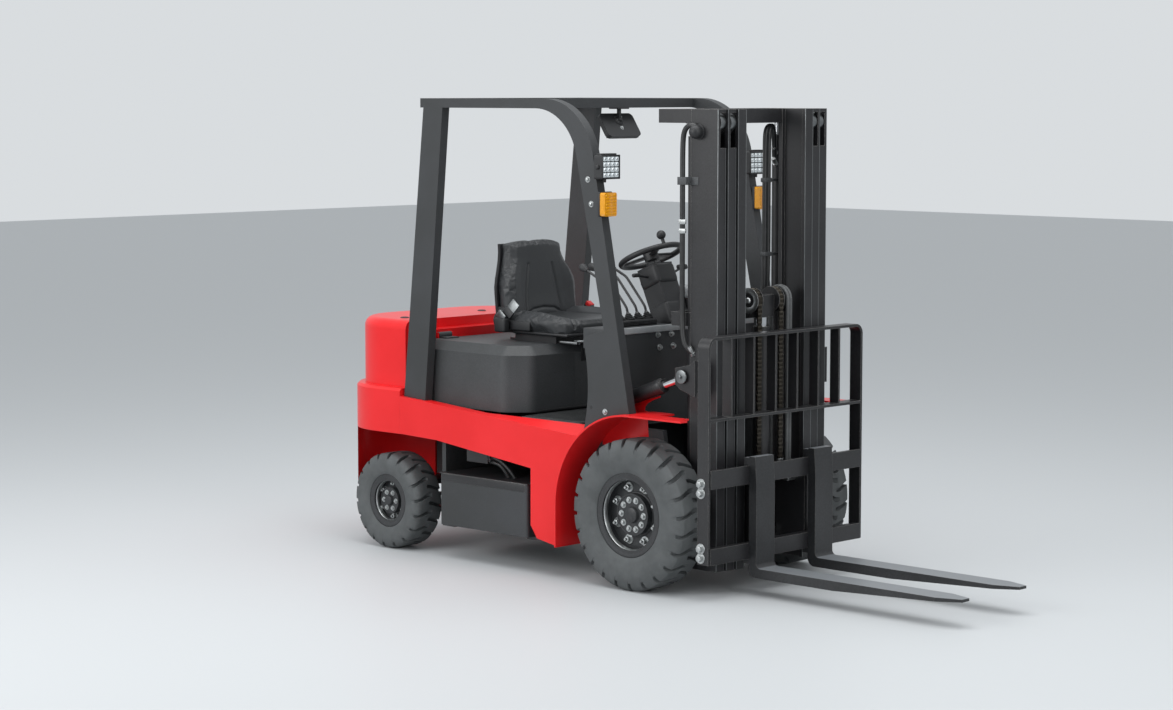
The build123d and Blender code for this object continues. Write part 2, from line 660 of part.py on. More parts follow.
def guard_side():
    corner_x = GUARD_CORNER_X
    foot_z = AXLE_Z + ARCH_R
    outer_foot = leg_front_x(foot_z - GUSSET_FOOT)
    under = GUARD_TOP - GUARD_DEPTH
    in_corner = corner_x - 100.0
    in_knee = in_corner + (under - GUSSET_TOP) * 0.2214
    gusset_x = in_knee - GUSSET_REACH
    gusset_z = GUSSET_TOP - GUSSET_SLOPE
    foot_low = foot_z - GUSSET_FOOT
    outline = [
        (gusset_x, gusset_z), (in_knee, GUSSET_TOP), (in_corner, under), (GUARD_REAR_X, under),
        (GUARD_REAR_X, GUARD_TOP), (corner_x, GUARD_TOP), (outer_foot, foot_low), (gusset_x, foot_low),
    ]
    waist = (gusset_x + GUSSET_SAG, (gusset_z + foot_low) / 2)
    face = make_face(Polyline(*outline) + ThreePointArc(outline[-1], waist, outline[0]))
    face = fillet(corner_at(face, corner_x, GUARD_TOP), GUARD_BEND_R)
    face = fillet(corner_at(face, in_corner, under), GUARD_BEND_IN)
    face = fillet(corner_at(face, gusset_x, gusset_z), GUSSET_CORNER_R)
    frame = extrude(Plane.XZ.offset(-GUARD_IN) * face, amount=-GUARD_BAR)
    frame = frame - pin_y(0, AXLE_Z, ARCH_R, 0, OVERALL_WIDTH)
    frame = frame - block(0, 400, 0, OVERALL_WIDTH, 0, foot_z)
    rear_foot = GUARD_REAR_X - 124
    front_foot = GUARD_REAR_X + 21
    lean_to = GUARD_REAR_X + 150
    leg = side_slab([
        (rear_foot, beam_top(rear_foot)), (front_foot, beam_top(front_foot)),
        (lean_to, under + 1), (front_foot, under + 1),
    ], GUARD_IN, GUARD_HALF)
    return frame + leg


def guard_roof():
    under = GUARD_TOP - GUARD_DEPTH
    rear = block(GUARD_REAR_X, GUARD_REAR_X + 60, -GUARD_IN, GUARD_IN, under, GUARD_TOP)
    front = block(ROOF_FRONT_X - ROOF_BAR_D, ROOF_FRONT_X, -GUARD_IN, GUARD_IN, under, GUARD_TOP)
    body = rear + front
    pitch = 2 * GUARD_IN / (ROOF_BARS + 1)
    for i in range(ROOF_BARS):
        y = -GUARD_IN + (i + 1) * pitch
        half = ROOF_BAR_W / 2
        front_x = ROOF_FRONT_X - ROOF_BAR_D
        body = body + block(GUARD_REAR_X + 60, front_x, y - half, y + half, under + 6, GUARD_TOP - 6)
    return body


def mirror_glass():
    x = ROOF_FRONT_X - ROOF_BAR_D / 2
    under = GUARD_TOP - GUARD_DEPTH
    drop = under - MIRROR_DROP
    case = Box(MIRROR_THICK, MIRROR_WIDTH, MIRROR_HEIGHT)
    case = fillet(case.edges().filter_by(Axis.X), 22)
    stem = block(x - MIRROR_STEM, x + MIRROR_STEM, -MIRROR_STEM, MIRROR_STEM, drop, under)
    return Pos(x, 0, drop) * Rot(0, -MIRROR_TILT, 0) * case + stem


def leg_front_x(z):
    return GUARD_CORNER_X + (GUARD_TOP - z) * GUARD_LEAN


def leg_space():
    z0 = GUARD_TOP - 741
    z1 = GUARD_TOP + 59
    back = GUARD_CORNER_X - 314
    points = [(back, z1), (leg_front_x(z1) + 0.2, z1), (leg_front_x(z0) + 0.2, z0), (back, z0)]
    return side_slab(points, 0, OVERALL_WIDTH)


def work_lamps():
    z = GUARD_TOP - 296.0
    x = leg_front_x(z - 53) + 3
    outer = GUARD_HALF + 17
    lamp = block(x, x + 46, outer - LAMP_WIDTH, outer, z - 53, z + 53)
    lamp = fillet(lamp.edges().filter_by(Axis.X), 10)
    stay = block(x - 24, x, GUARD_IN + 8, GUARD_HALF - 8, z - 20, z + 20)
    stay = stay - leg_space()
    return pair(lamp + stay)


def indicator_lamps():
    z = GUARD_TOP - 458.0
    x = leg_front_x(z - 52) + 3
    lamp = block(x, x + 40, GUARD_IN - 8, GUARD_IN + 68, z - 52, z + 52)
    lamp = fillet(lamp.edges().filter_by(Axis.X), 10)
    stay = block(x - 24, x, GUARD_IN + 8, GUARD_HALF - 8, z - 20, z + 20)
    stay = stay - leg_space()
    return pair(lamp + stay)


def tail_lamps():
    x = GUARD_REAR_X
    lamp = block(x - 60, x, GUARD_IN - 120, GUARD_IN - 40, GUARD_TOP - GUARD_DEPTH, GUARD_TOP - 4)
    return pair(fillet(lamp.edges().filter_by(Axis.X), 8))


def front_cowl():
    half = GUARD_IN
    low_side = 890.0
    panel = block(COWL_X - COWL_SHELL, COWL_X, -half, half, low_side, COWL_TOP)
    panel = panel + block(COWL_X - COWL_SHELL, COWL_X, -INNER_PLATE_Y, INNER_PLATE_Y, FLOOR_TOP, COWL_TOP)
    shelf = block(COWL_SHELF_X, COWL_X, -half, half, COWL_TOP - COWL_SHELL, COWL_TOP)
    skirt = block(COWL_SHELF_X, COWL_SHELF_X + COWL_SHELL, -half, half, COWL_TOP - 90, COWL_TOP)
    return panel + shelf + skirt



def column_plane():
    lean = math.radians(COLUMN_LEAN)
    return Plane(origin=(WHEEL_HUB_X, 0, WHEEL_HUB_Z), z_dir=(-math.sin(lean), 0, math.cos(lean)))


def steering_column():
    reach = HUB_RISE / math.cos(math.radians(COLUMN_LEAN)) + 107
    cover = column_plane() * Pos(0, 0, -(reach + 50) / 2) * Box(110, 120, reach - 50)
    tube = column_plane() * Pos(0, 0, -60) * Cylinder(22, 70)
    return (cover + tube) - block(-900, 200, -300, 300, COWL_TOP - 600, COWL_TOP)


def steering_wheel():
    ring = Torus(STEERING_R - 13, 13)
    hub = Cylinder(34, 44)
    body = ring + hub
    for angle in (90, 210, 330):
        spoke = Rot(0, 0, angle) * Pos((STEERING_R - 13) / 2, 0, 0) * Box(STEERING_R - 13, 26, 10)
        body = body + spoke
    stem = Pos(STEERING_R - 13, 0, 24) * Cylinder(8, 32)
    knob = Pos(STEERING_R - 13, 0, 52) * Sphere(21)
    body = body + Rot(0, 0, KNOB_ANGLE) * (stem + knob)
    bore = Pos(0, 0, -20) * Cylinder(12 + RUN_FIT, 30)
    return column_plane() * (body - bore)


def column_spigot():
    return column_plane() * Pos(0, 0, -25.5) * Cylinder(12, 39)


def control_levers():
    levers = []
    for i in range(LEVER_COUNT):
        y = -(GUARD_IN - 335.0) - i * LEVER_PITCH
        foot = (-255.0, y, COWL_TOP)
        head = (-425.0, y + 6, COWL_TOP + 232.0)
        rod = bar_between(foot, head, 6)
        boot = Pos(-255.0, y, COWL_TOP + 11) * Cylinder(18, 22)
        knob = Pos(*head) * Sphere(17)
        lever = (rod - block(-600, 0, -600, 600, COWL_TOP - 50, COWL_TOP)) + knob + boot
        levers.append(lever)
    return levers


def pedals():
    parts = []
    for y, w in ((-60.0, 45.0), (-200.0, 35.0)):
        pad = Pos(-262, y, FLOOR_TOP + 78) * Rot(0, -50, 0) * Box(120, 2 * w, 8)
        stem = block(-272, -252, y - 10, y + 10, FLOOR_TOP, FLOOR_TOP + 80)
        parts.append(pad + stem)
    return parts


def rail(half, rear, web_out, roller_x, roller_in, top_notch):
    y1 = half
    y0 = half - RAIL_W
    front = rear + RAIL_DEPTH
    body = block(rear, front, y0, y1, MAST_BOTTOM, MAST_TOP)
    web_in = web_out - RAIL_WEB
    body = body - block(rear + RAIL_FLANGE, front - RAIL_FLANGE, y0 - 1, web_in, 0, 2 * MAST_TOP)
    if web_out < y1:
        body = body - block(rear + RAIL_FLANGE, front - RAIL_FLANGE, web_out, y1 + 1, 0, 2 * MAST_TOP)
    if top_notch:
        cut = block(front - RAIL_FLANGE - 1, front + 1, y0 - 1, y1 - 14, MAST_TOP - NOTCH - 15, MAST_TOP - 15)
        body = body - cut
        z = MAST_TOP - 72
        roller = pin_y(roller_x, z, ROLLER_R, roller_in, roller_in + 32)
        body = body + roller + pin_y(roller_x, z, 20, roller_in, web_in + 2)
    return body


def mast_outer_rails():
    mid_web = MID_HALF - (RAIL_W - RAIL_WEB) / 2
    body = rail(MAST_HALF, RAIL_REAR_X, MAST_HALF, MID_X + ROLLER_RUN, mid_web + MOVE_GAP, True)
    yoke = [
        (RAIL_REAR_X, AXLE_Z + 250), (RAIL_REAR_X, AXLE_Z - 150), (40, AXLE_Z - 105), (-60, AXLE_Z - 85),
        (-105, AXLE_Z), (-60, AXLE_Z + 85), (40, AXLE_Z + 110),
    ]
    low_y = MAST_HALF - RAIL_W + 4
    plate = side_slab(yoke, low_y, INNER_PLATE_Y - MOVE_GAP)
    plate = plate - pin_y(0, AXLE_Z, AXLE_TUBE_R + RUN_FIT, 0, OVERALL_WIDTH)
    body = body + plate
    near = MAST_HALF
    eye0 = TILT_Y - TILT_EYE_W / 2 - MOVE_GAP
    eye1 = TILT_Y + TILT_EYE_W / 2 + MOVE_GAP
    ear = [
        (TILT_PIN_X - 45, TILT_PIN_Z + 35), (TILT_PIN_X + 45, TILT_PIN_Z + 55), (TILT_PIN_X + 70, TILT_PIN_Z + 75),
        (TILT_PIN_X + 70, TILT_PIN_Z - 85), (TILT_PIN_X - 20, TILT_PIN_Z - 55), (TILT_PIN_X - 45, TILT_PIN_Z - 35),
    ]
    body = body + side_slab(ear, near, eye0)
    body = body + side_slab(ear, eye1, eye1 + 12)
    body = body + block(TILT_PIN_X + 52, TILT_PIN_X + 70, eye0 - 1, eye1 + 1, TILT_PIN_Z - 70, TILT_PIN_Z + 70)
    body = body + pin_y(TILT_PIN_X, TILT_PIN_Z, TILT_PIN_R, eye0 - 1, eye1 + 22)
    return pair(body)


def bow(z0, z1, back, wall):
    body = block(back, back + wall, -MAST_HALF, MAST_HALF, z0, z1)
    for y0, y1 in ((-MAST_HALF, -MAST_HALF + wall), (MAST_HALF - wall, MAST_HALF)):
        body = body + block(back, RAIL_REAR_X, y0, y1, z0, z1)
    return body


def mast_outer_ties():
    top = bow(MAST_TOP - 60, MAST_TOP, 0, 12)
    tie = MAST_TOP - 938
    middle = bow(tie, tie + 60, RAIL_REAR_X - 113, 12)
    foot = block(LIFT_X - 40, RAIL_REAR_X, -MAST_HALF, MAST_HALF, MAST_BOTTOM, MAST_BOTTOM + 30)
    return [top, middle, foot]


def lift_barrels():
    low = MAST_BOTTOM + 30
    high = MAST_TOP - 118
    tube = pin_z(LIFT_X, LIFT_Y, LIFT_BARREL_R, low, high)
    tube = tube - pin_z(LIFT_X, LIFT_Y, LIFT_ROD_R + RUN_FIT, low + 30, high + 1)
    return pair(tube)


def lift_rods():
    return pair(pin_z(LIFT_X, LIFT_Y, LIFT_ROD_R, MAST_BOTTOM + 460, MAST_TOP - 63))


def mast_mid_rails():
    inner_web = INNER_HALF - (RAIL_W - RAIL_WEB) / 2
    web_out = MID_HALF - (RAIL_W - RAIL_WEB) / 2
    return pair(rail(MID_HALF, MID_X, web_out, INNER_X + ROLLER_RUN, inner_web + MOVE_GAP, True))


def mast_mid_ties():
    reach = LIFT_Y + LIFT_BARREL_R
    top = block(LIFT_X - LIFT_BARREL_R, MID_X, -reach, reach, MAST_TOP - 63, MAST_TOP - 38)
    low = block(MID_X - 14, MID_X, -MID_HALF + 6, MID_HALF - 6, MAST_BOTTOM + 60, MAST_BOTTOM + 120)
    return [top, low]


def mast_inner_rails():
    web_out = INNER_HALF - (RAIL_W - RAIL_WEB) / 2
    return pair(rail(INNER_HALF, INNER_X, web_out, 0, 0, False))


def mast_inner_ties():
    top = block(INNER_X, INNER_X + 15, -INNER_FREE, INNER_FREE, MAST_TOP - 60, MAST_TOP)
    low = block(INNER_X, INNER_X + 15, -INNER_FREE, INNER_FREE, MAST_BOTTOM + 20, MAST_BOTTOM + 120)
    reach = INNER_MID_X + FREE_BARREL_R
    low = low + block(INNER_X, reach, -90, 90, MAST_BOTTOM + 35, MAST_BOTTOM + 50)
    return [top, low]


def free_lift_barrel():
    low = MAST_BOTTOM + 50
    tube = pin_z(INNER_MID_X, 0, FREE_BARREL_R, low, FREE_BARREL_TOP)
    rear = INNER_MID_X - SHEAVE_R - CHAIN_T / 2
    half = SHEAVE_Y + CHAIN_W / 2
    anchor = BAR_TOP - 45 - RUN_FIT
    tube = tube + block(rear - 4, INNER_MID_X - 20, -half, half, anchor - 40, anchor)
    return tube - pin_z(INNER_MID_X, 0, FREE_ROD_R + RUN_FIT, low + 30, FREE_BARREL_TOP + 1)


def free_lift_head():
    rod = pin_z(INNER_MID_X, 0, FREE_ROD_R, MAST_BOTTOM + 300, SHEAVE_Z - 60)
    beam_half = SHEAVE_Y - CHAIN_W / 2 - 6
    beam = block(INNER_MID_X - 26, INNER_MID_X + 26, -beam_half, beam_half, SHEAVE_Z - 75, SHEAVE_Z + 22)
    shaft = pin_y(INNER_MID_X, SHEAVE_Z, 14, -SHEAVE_Y - CHAIN_W / 2 - 8, SHEAVE_Y + CHAIN_W / 2 + 8)
    body = rod + beam + shaft
    for y in (-SHEAVE_Y, SHEAVE_Y):
        edge = CHAIN_W / 2 + 5
        wheel = pin_y(INNER_MID_X, SHEAVE_Z, SHEAVE_R - CHAIN_T / 2, y - edge, y + edge)
        body = body + wheel
        for side in (-edge, edge - 4):
            body = body + pin_y(INNER_MID_X, SHEAVE_Z, SHEAVE_R + 8, y + side, y + side + 4)
    return body


def lift_chains():
    parts = []
    low = BAR_TOP - 45
    for y in (-SHEAVE_Y, SHEAVE_Y):
        half = CHAIN_W / 2
        inner = SHEAVE_R - CHAIN_T / 2 + RUN_FIT
        over = pin_y(INNER_MID_X, SHEAVE_Z, inner + CHAIN_T, y - half, y + half)
        over = over - pin_y(INNER_MID_X, SHEAVE_Z, inner, y - half - 1, y + half + 1)
        over = over - block(0, 900, -500, 500, 0, SHEAVE_Z)
        for x in (INNER_MID_X - inner - CHAIN_T, INNER_MID_X + inner):
            over = over + block(x, x + CHAIN_T, y - half, y + half, low, SHEAVE_Z)
        parts.append(over)
    return parts


def carriage():
    top_bar = block(BAR_REAR_X, BAR_FRONT_X, -CARRIAGE_HALF + POST_WALL, CARRIAGE_HALF - POST_WALL,
                    BAR_TOP - BAR_HEIGHT, BAR_TOP)
    cut = BAR_FRONT_X - BAR_LIP
    top_bar = top_bar - block(0, cut, -CARRIAGE_HALF, CARRIAGE_HALF, BAR_TOP - BAR_RABBET, BAR_TOP + 1)
    low_bar = block(BAR_REAR_X, BAR_FRONT_X, -CARRIAGE_HALF + POST_WALL, CARRIAGE_HALF - POST_WALL,
                    BAR_LOW, BAR_LOW + BAR_HEIGHT - 10)
    low_bar = low_bar - block(0, cut, -CARRIAGE_HALF, CARRIAGE_HALF, 0, BAR_LOW + BAR_RABBET)
    body = top_bar + low_bar
    top = BAR_TOP - BAR_RABBET
    low = BAR_LOW + BAR_RABBET
    rear = INNER_MID_X - 42
    for side in (-1, 1):
        y0 = SIDE_PLATE_Y
        plate = block(rear, BAR_REAR_X, y0, y0 + SIDE_PLATE, low, top)
        for z in (low + 60, top - 60):
            web = INNER_FREE + (RAIL_W - RAIL_WEB) / 2
            plate = plate + pin_y(INNER_X + ROLLER_RUN, z, ROLLER_R, y0 + SIDE_PLATE - 1, web - MOVE_GAP)
        body = body + (plate if side > 0 else mirrored(plate))
    inner = SIDE_PLATE_Y
    front_gap = INNER_MID_X + FREE_BARREL_R + 14
    body = body + block(front_gap + 14, BAR_REAR_X, -inner, inner, BAR_TOP - BAR_HEIGHT, top)
    body = body + block(BAR_REAR_X - 14, BAR_REAR_X, -inner, inner, low, BAR_LOW + BAR_HEIGHT - 10)
    return body


def chain_anchors():
    low = BAR_TOP - BAR_HEIGHT
    front = INNER_MID_X + FREE_BARREL_R + 28
    parts = []
    for y in (-SHEAVE_Y, SHEAVE_Y):
        half = CHAIN_W / 2 + 6
        parts.append(block(CHAIN_X - CHAIN_T, front, y - half, y + half, low, BAR_TOP - 45))
    return parts


def load_backrest():
    front = BAR_FRONT_X - 4
    rear = front - POST_DEPTH
    half = CARRIAGE_HALF
    outer = [(-half, BAR_LOW), (-half, BACKREST_TOP), (half, BACKREST_TOP), (half, BAR_LOW)]
    inner_half = half - POST_WALL
    inner = [(inner_half, BAR_LOW), (inner_half, BACKREST_TOP - POST_WALL)]
    inner = inner + [(-inner_half, BACKREST_TOP - POST_WALL), (-inner_half, BAR_LOW)]
    outer_face = make_face(Polyline(*outer, close=True))
    outer_face = fillet(outer_face.vertices().sort_by(Axis.Y)[-2:], 45)
    inner_face = make_face(Polyline(*inner, close=True))
    inner_face = fillet(inner_face.vertices().sort_by(Axis.Y)[-2:], 45 - POST_WALL)
    hoop = extrude(Plane.YZ.offset(rear) * (outer_face - inner_face), amount=POST_DEPTH)
    body = hoop + block(rear, front, -inner_half, inner_half, BACKREST_LOW - 6, BACKREST_LOW + 6)
    pitch = 2 * inner_half / (BACKREST_BARS + 1)
    for i in range(BACKREST_BARS):
        y = -inner_half + (i + 1) * pitch
        body = body + block(rear + 6, front - 6, y - 5, y + 5, BACKREST_LOW, BACKREST_TOP - POST_WALL)
    return body


def fork(side):
    front = LOAD_DISTANCE
    back = FORK_BACK_X
    outline = [
        (back, FORK_SHANK_TOP), (front - 8, FORK_SHANK_TOP), (front, FORK_SHANK_TOP - 120), (front, FORK_TOP),
        (TIP_X, FORK_TOP), (TIP_X, FORK_TOP - 12), (front + 420, FORK_LOW), (back, FORK_LOW),
    ]
    face = make_face(Polyline(*outline, close=True))
    heel = [v for v in face.vertices() if abs(v.X - back) < 1 and abs(v.Y - FORK_LOW) < 1]
    face = fillet(heel, 38)
    inside = [v for v in face.vertices() if abs(v.X - front) < 1 and abs(v.Y - FORK_TOP) < 1]
    face = fillet(inside, 22)
    y1 = FORK_OUTER_Y
    y0 = y1 - FORK_W
    body = extrude(Plane.XZ.offset(-y0) * face, amount=-FORK_W)
    mid = (y0 + y1) / 2
    for edge, sign in ((y0, -1), (y1, 1)):
        nose = plan_slab([(TIP_X - 110, edge), (TIP_X + 1, edge), (TIP_X + 1, mid + sign * 24)], 0, 400)
        body = body - nose
    cut = BAR_FRONT_X - BAR_LIP - SLIDE_FIT
    lip_x = BAR_REAR_X + 1.5
    over = block(lip_x, back, y0, y1, BAR_TOP + SLIDE_FIT, FORK_SHANK_TOP - 6)
    over = over + block(lip_x, cut, y0, y1, BAR_TOP - BAR_RABBET + 4, FORK_SHANK_TOP - 6)
    under = block(lip_x, back, y0, y1, BAR_LOW - 22, BAR_LOW - SLIDE_FIT)
    under = under + block(lip_x, cut, y0, y1, BAR_LOW - 22, BAR_LOW + BAR_RABBET - 4)
    body = body + over + under
    return body if side > 0 else mirrored(body)


def tilt_axis():
    return math.atan2(TILT_PIN_Z - TILT_REAR_Z, TILT_PIN_X - TILT_REAR_X)


def along_tilt(s):
    a = tilt_axis()
    return (TILT_REAR_X + s * math.cos(a), TILT_Y, TILT_REAR_Z + s * math.sin(a))


def tilt_reach():
    return math.hypot(TILT_PIN_X - TILT_REAR_X, TILT_PIN_Z - TILT_REAR_Z)


def tilt_barrels():
    end = tilt_reach() - 150
    tube = bar_between(along_tilt(28), along_tilt(end), TILT_BARREL_R)
    eye = pin_y(TILT_REAR_X, TILT_REAR_Z, TILT_PIN_R + 18, TILT_Y - TILT_EYE_W / 2, TILT_Y + TILT_EYE_W / 2)
    body = tube + eye
    body = body - bar_between(along_tilt(80), along_tilt(end + 5), TILT_ROD_R + RUN_FIT)
    body = body - pin_y(TILT_REAR_X, TILT_REAR_Z, TILT_PIN_R + RUN_FIT, 0, OVERALL_WIDTH)
    return pair(body)


def tilt_rods():
    reach = tilt_reach()
    rod = bar_between(along_tilt(190), along_tilt(reach - 24), TILT_ROD_R)
    eye_r = TILT_PIN_R + TILT_DRIFT + 10
    eye = pin_y(TILT_PIN_X, TILT_PIN_Z, eye_r, TILT_Y - TILT_EYE_W / 2, TILT_Y + TILT_EYE_W / 2)
    body = rod + eye
    body = body - pin_y(TILT_PIN_X, TILT_PIN_Z, TILT_PIN_R + TILT_DRIFT, 0, OVERALL_WIDTH)
    return pair(body)


def all_nodes():
    nodes = {}
    for name, side in (("right", -1), ("left", 1)):
        nodes["front_tyre_" + name], nodes["front_rim_" + name] = front_wheel(side)
        nodes["rear_tyre_" + name], nodes["rear_rim_" + name] = rear_wheel(side)
        nodes["knuckle_" + name] = knuckle(side)
        nodes["steer_link_" + name] = steer_link(side)
        nodes["fork_" + name] = fork(side)
    nodes["drive_axle"] = drive_axle()
    nodes["steer_axle"] = steer_axle()
    nodes["axle_cradle"] = axle_cradle()
    nodes["steer_rod"] = steer_rod()
    nodes["chassis_frame"] = chassis_frame()
    nodes["side_frames"] = pair(side_frame())
    nodes["front_fenders"] = pair(fender())
    nodes["battery"] = battery()
    nodes["entry_step"] = entry_step()
    nodes["floor_plate"] = floor_plate()
    nodes["counterweight"] = counterweight()
    nodes["power_pack"] = power_pack()
    nodes["hood"] = hood()
    nodes["seat_base"] = seat_base()
    nodes["seat_cushion"] = seat_cushion()
    nodes["seat_backrest"] = seat_backrest()
    nodes["guard_sides"] = pair(guard_side())
    nodes["guard_roof"] = guard_roof()
    nodes["mirror_glass"] = mirror_glass()
    nodes["work_lamps"] = work_lamps()
    nodes["indicator_lamps"] = indicator_lamps()
    nodes["tail_lamps"] = tail_lamps()
    nodes["front_cowl"] = front_cowl()
    nodes["steering_column"] = steering_column() + column_spigot()
    nodes["steering_wheel"] = steering_wheel()
    nodes["control_levers"] = control_levers()
    nodes["pedals"] = pedals()
    nodes["mast_outer_rails"] = mast_outer_rails()
    nodes["mast_outer_ties"] = mast_outer_ties()
    nodes["lift_barrels"] = lift_barrels()
    nodes["mast_mid_rails"] = mast_mid_rails()
    nodes["mast_mid_ties"] = mast_mid_ties()
    nodes["lift_rods"] = lift_rods()
    nodes["mast_inner_rails"] = mast_inner_rails()
    nodes["mast_inner_ties"] = mast_inner_ties()
    nodes["free_lift_barrel"] = free_lift_barrel()
    nodes["free_lift_head"] = free_lift_head()
    nodes["lift_chains"] = lift_chains()
    nodes["carriage"] = carriage() + chain_anchors()
    nodes["load_backrest"] = load_backrest()
    nodes["tilt_barrels"] = tilt_barrels()
    nodes["tilt_rods"] = tilt_rods()
    return nodes


def solids_of(shape):
    pieces = shape if isinstance(shape, list) else [shape]
    found = []
    for piece in pieces:
        found.extend(piece.solids())
    return found


os.makedirs("parts", exist_ok=True)
for node_name, node_shape in all_nodes().items():
    moved = [Pos(SHIFT_X, 0, 0) * solid for solid in solids_of(node_shape)]
    whole = moved[0] if len(moved) == 1 else Compound(moved)
    export_step(whole, "parts/" + node_name + ".step")
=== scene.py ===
import json
import math
import bpy
import bmesh
from mathutils import Matrix, Vector


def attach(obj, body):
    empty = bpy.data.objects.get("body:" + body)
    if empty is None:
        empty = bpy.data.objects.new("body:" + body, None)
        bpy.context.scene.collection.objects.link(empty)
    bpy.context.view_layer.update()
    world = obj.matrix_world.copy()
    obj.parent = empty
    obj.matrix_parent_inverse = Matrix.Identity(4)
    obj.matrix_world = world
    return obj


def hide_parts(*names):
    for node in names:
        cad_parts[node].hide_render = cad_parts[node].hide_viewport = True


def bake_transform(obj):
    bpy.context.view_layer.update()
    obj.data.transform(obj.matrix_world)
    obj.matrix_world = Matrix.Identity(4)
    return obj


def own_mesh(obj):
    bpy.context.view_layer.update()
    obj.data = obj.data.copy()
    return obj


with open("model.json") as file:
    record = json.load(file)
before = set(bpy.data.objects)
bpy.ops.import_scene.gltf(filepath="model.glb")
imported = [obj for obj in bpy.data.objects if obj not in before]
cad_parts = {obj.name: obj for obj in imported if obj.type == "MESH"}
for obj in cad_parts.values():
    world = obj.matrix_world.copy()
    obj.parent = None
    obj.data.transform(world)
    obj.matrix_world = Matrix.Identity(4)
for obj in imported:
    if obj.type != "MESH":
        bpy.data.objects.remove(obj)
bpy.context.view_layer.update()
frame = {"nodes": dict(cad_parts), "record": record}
nodes = frame["nodes"]
scene = bpy.context.scene
scene.view_settings.view_transform = "Standard"
print("frame loaded:", len(nodes), "nodes")


def lin(hexCode):
    # sRGB hex to linear RGBA
    parts = [int(hexCode[i:i + 2], 16) / 255 for i in (1, 3, 5)]
    return tuple(c / 12.92 if c <= 0.04045 else ((c + 0.055) / 1.055) ** 2.4 for c in parts) + (1.0,)


def toned(hexCode, share):
    return tuple(min(1, share * c) for c in lin(hexCode)[:3]) + (1.0,)


def addNode(tree, kind, values=None, links=None, **settings):
    node = tree.nodes.new(kind)
    for key, value in settings.items():
        setattr(node, key, value)
    for socket, value in (values or {}).items():
        node.inputs[socket].default_value = value
    for socket, source in (links or {}).items():
        tree.links.new(source, node.inputs[socket])
    return node


def newMaterial(name):
    mat = bpy.data.materials.new(name)
    mat.use_nodes = True
    tree = mat.node_tree
    shader = tree.nodes["Principled BSDF"]
    place = addNode(tree, "ShaderNodeTexCoord").outputs["Object"]
    return mat, tree, shader, place


def twoTone(tree, place, scale, detail, low, high, colourA, colourB):
    # a soft blotchy mix of two colours; scale is 1 / size in metres
    noise = addNode(tree, "ShaderNodeTexNoise", {"Scale": scale, "Detail": detail, "Roughness": 0.6},
                    {"Vector": place})
    ramp = addNode(tree, "ShaderNodeValToRGB", links={"Fac": noise.outputs["Fac"]})
    ramp.color_ramp.elements[0].position = low
    ramp.color_ramp.elements[0].color = colourA
    ramp.color_ramp.elements[1].position = high
    ramp.color_ramp.elements[1].color = colourB
    return ramp, noise


def grainBump(tree, shader, place, size, strength, distance, detail=2.0):
    noise = addNode(tree, "ShaderNodeTexNoise", {"Scale": 1 / size, "Detail": detail}, {"Vector": place})
    bump = addNode(tree, "ShaderNodeBump", {"Strength": strength, "Distance": distance},
                   {"Height": noise.outputs["Fac"]})
    tree.links.new(bump.outputs["Normal"], shader.inputs["Normal"])
    return noise, bump


def roughRange(tree, shader, source, low, high):
    spread = addNode(tree, "ShaderNodeMapRange", {"To Min": low, "To Max": high}, {"Value": source})
    tree.links.new(spread.outputs["Result"], shader.inputs["Roughness"])


def edgeWearAndHighlight(tree, place, base, wornAndHighlight, radius, amount):
    # paint rubbed thin on the edges, and on the black mast enamel also a painted highlight along the edges:
    # a bevelled normal against the true one, broken up by noise
    bevel = addNode(tree, "ShaderNodeBevel", {"Radius": radius}, samples=4)
    true = addNode(tree, "ShaderNodeNewGeometry")
    dot = addNode(tree, "ShaderNodeVectorMath",
                  links={0: bevel.outputs["Normal"], 1: true.outputs["Normal"]}, operation="DOT_PRODUCT")
    edge = addNode(tree, "ShaderNodeMapRange", {"From Min": 0.97, "From Max": 0.8},
                   {"Value": dot.outputs["Value"]})
    noise = addNode(tree, "ShaderNodeTexNoise", {"Scale": 60.0, "Detail": 4.0}, {"Vector": place})
    broken = addNode(tree, "ShaderNodeMath", {1: amount}, {0: noise.outputs["Fac"]}, operation="MULTIPLY")
    share = addNode(tree, "ShaderNodeMath", links={0: edge.outputs["Result"], 1: broken.outputs["Value"]},
                    operation="MULTIPLY", use_clamp=True)
    mix = addNode(tree, "ShaderNodeMix", {"B": wornAndHighlight}, {"Factor": share.outputs["Value"], "A": base},
                  data_type="RGBA")
    return mix.outputs["Result"], bevel.outputs["Normal"]


def powderCoat(name, colourA, colourB, rough, grain, strength, wornAndHighlight, coat=0.0, wearAndHighlight=0.5, ior=1.5,
               speckle=0.3):
    # sprayed polyester powder, cured: even colour, fine orange peel, edges a little thin; on the black mast
    # enamel the pale edges are also a painted highlight
    mat, tree, shader, place = newMaterial(name)
    ramp, noise = twoTone(tree, place, 3.0, 5.0, 0.35, 0.75, lin(colourA), lin(colourB))
    paint, softEdge = edgeWearAndHighlight(tree, place, ramp.outputs["Color"], lin(wornAndHighlight), 0.003, wearAndHighlight)
    peel, bump = grainBump(tree, shader, place, grain, strength, 0.0006)
    flake = addNode(tree, "ShaderNodeMapRange",
                    {"From Min": 0.3, "From Max": 0.7, "To Min": 1 - speckle, "To Max": 1 + speckle},
                    {"Value": peel.outputs["Fac"]})
    tint = addNode(tree, "ShaderNodeVectorMath", links={0: paint, "Scale": flake.outputs["Result"]},
                   operation="SCALE")
    tree.links.new(tint.outputs["Vector"], shader.inputs["Base Color"])
    # paint rounds every folded edge, so edges catch the light
    tree.links.new(softEdge, bump.inputs["Normal"])
    roughRange(tree, shader, noise.outputs["Fac"], rough - 0.06, rough + 0.08)
    shader.inputs["IOR"].default_value = ior
    shader.inputs["Coat Weight"].default_value = coat
    shader.inputs["Coat Roughness"].default_value = 0.12
    return mat


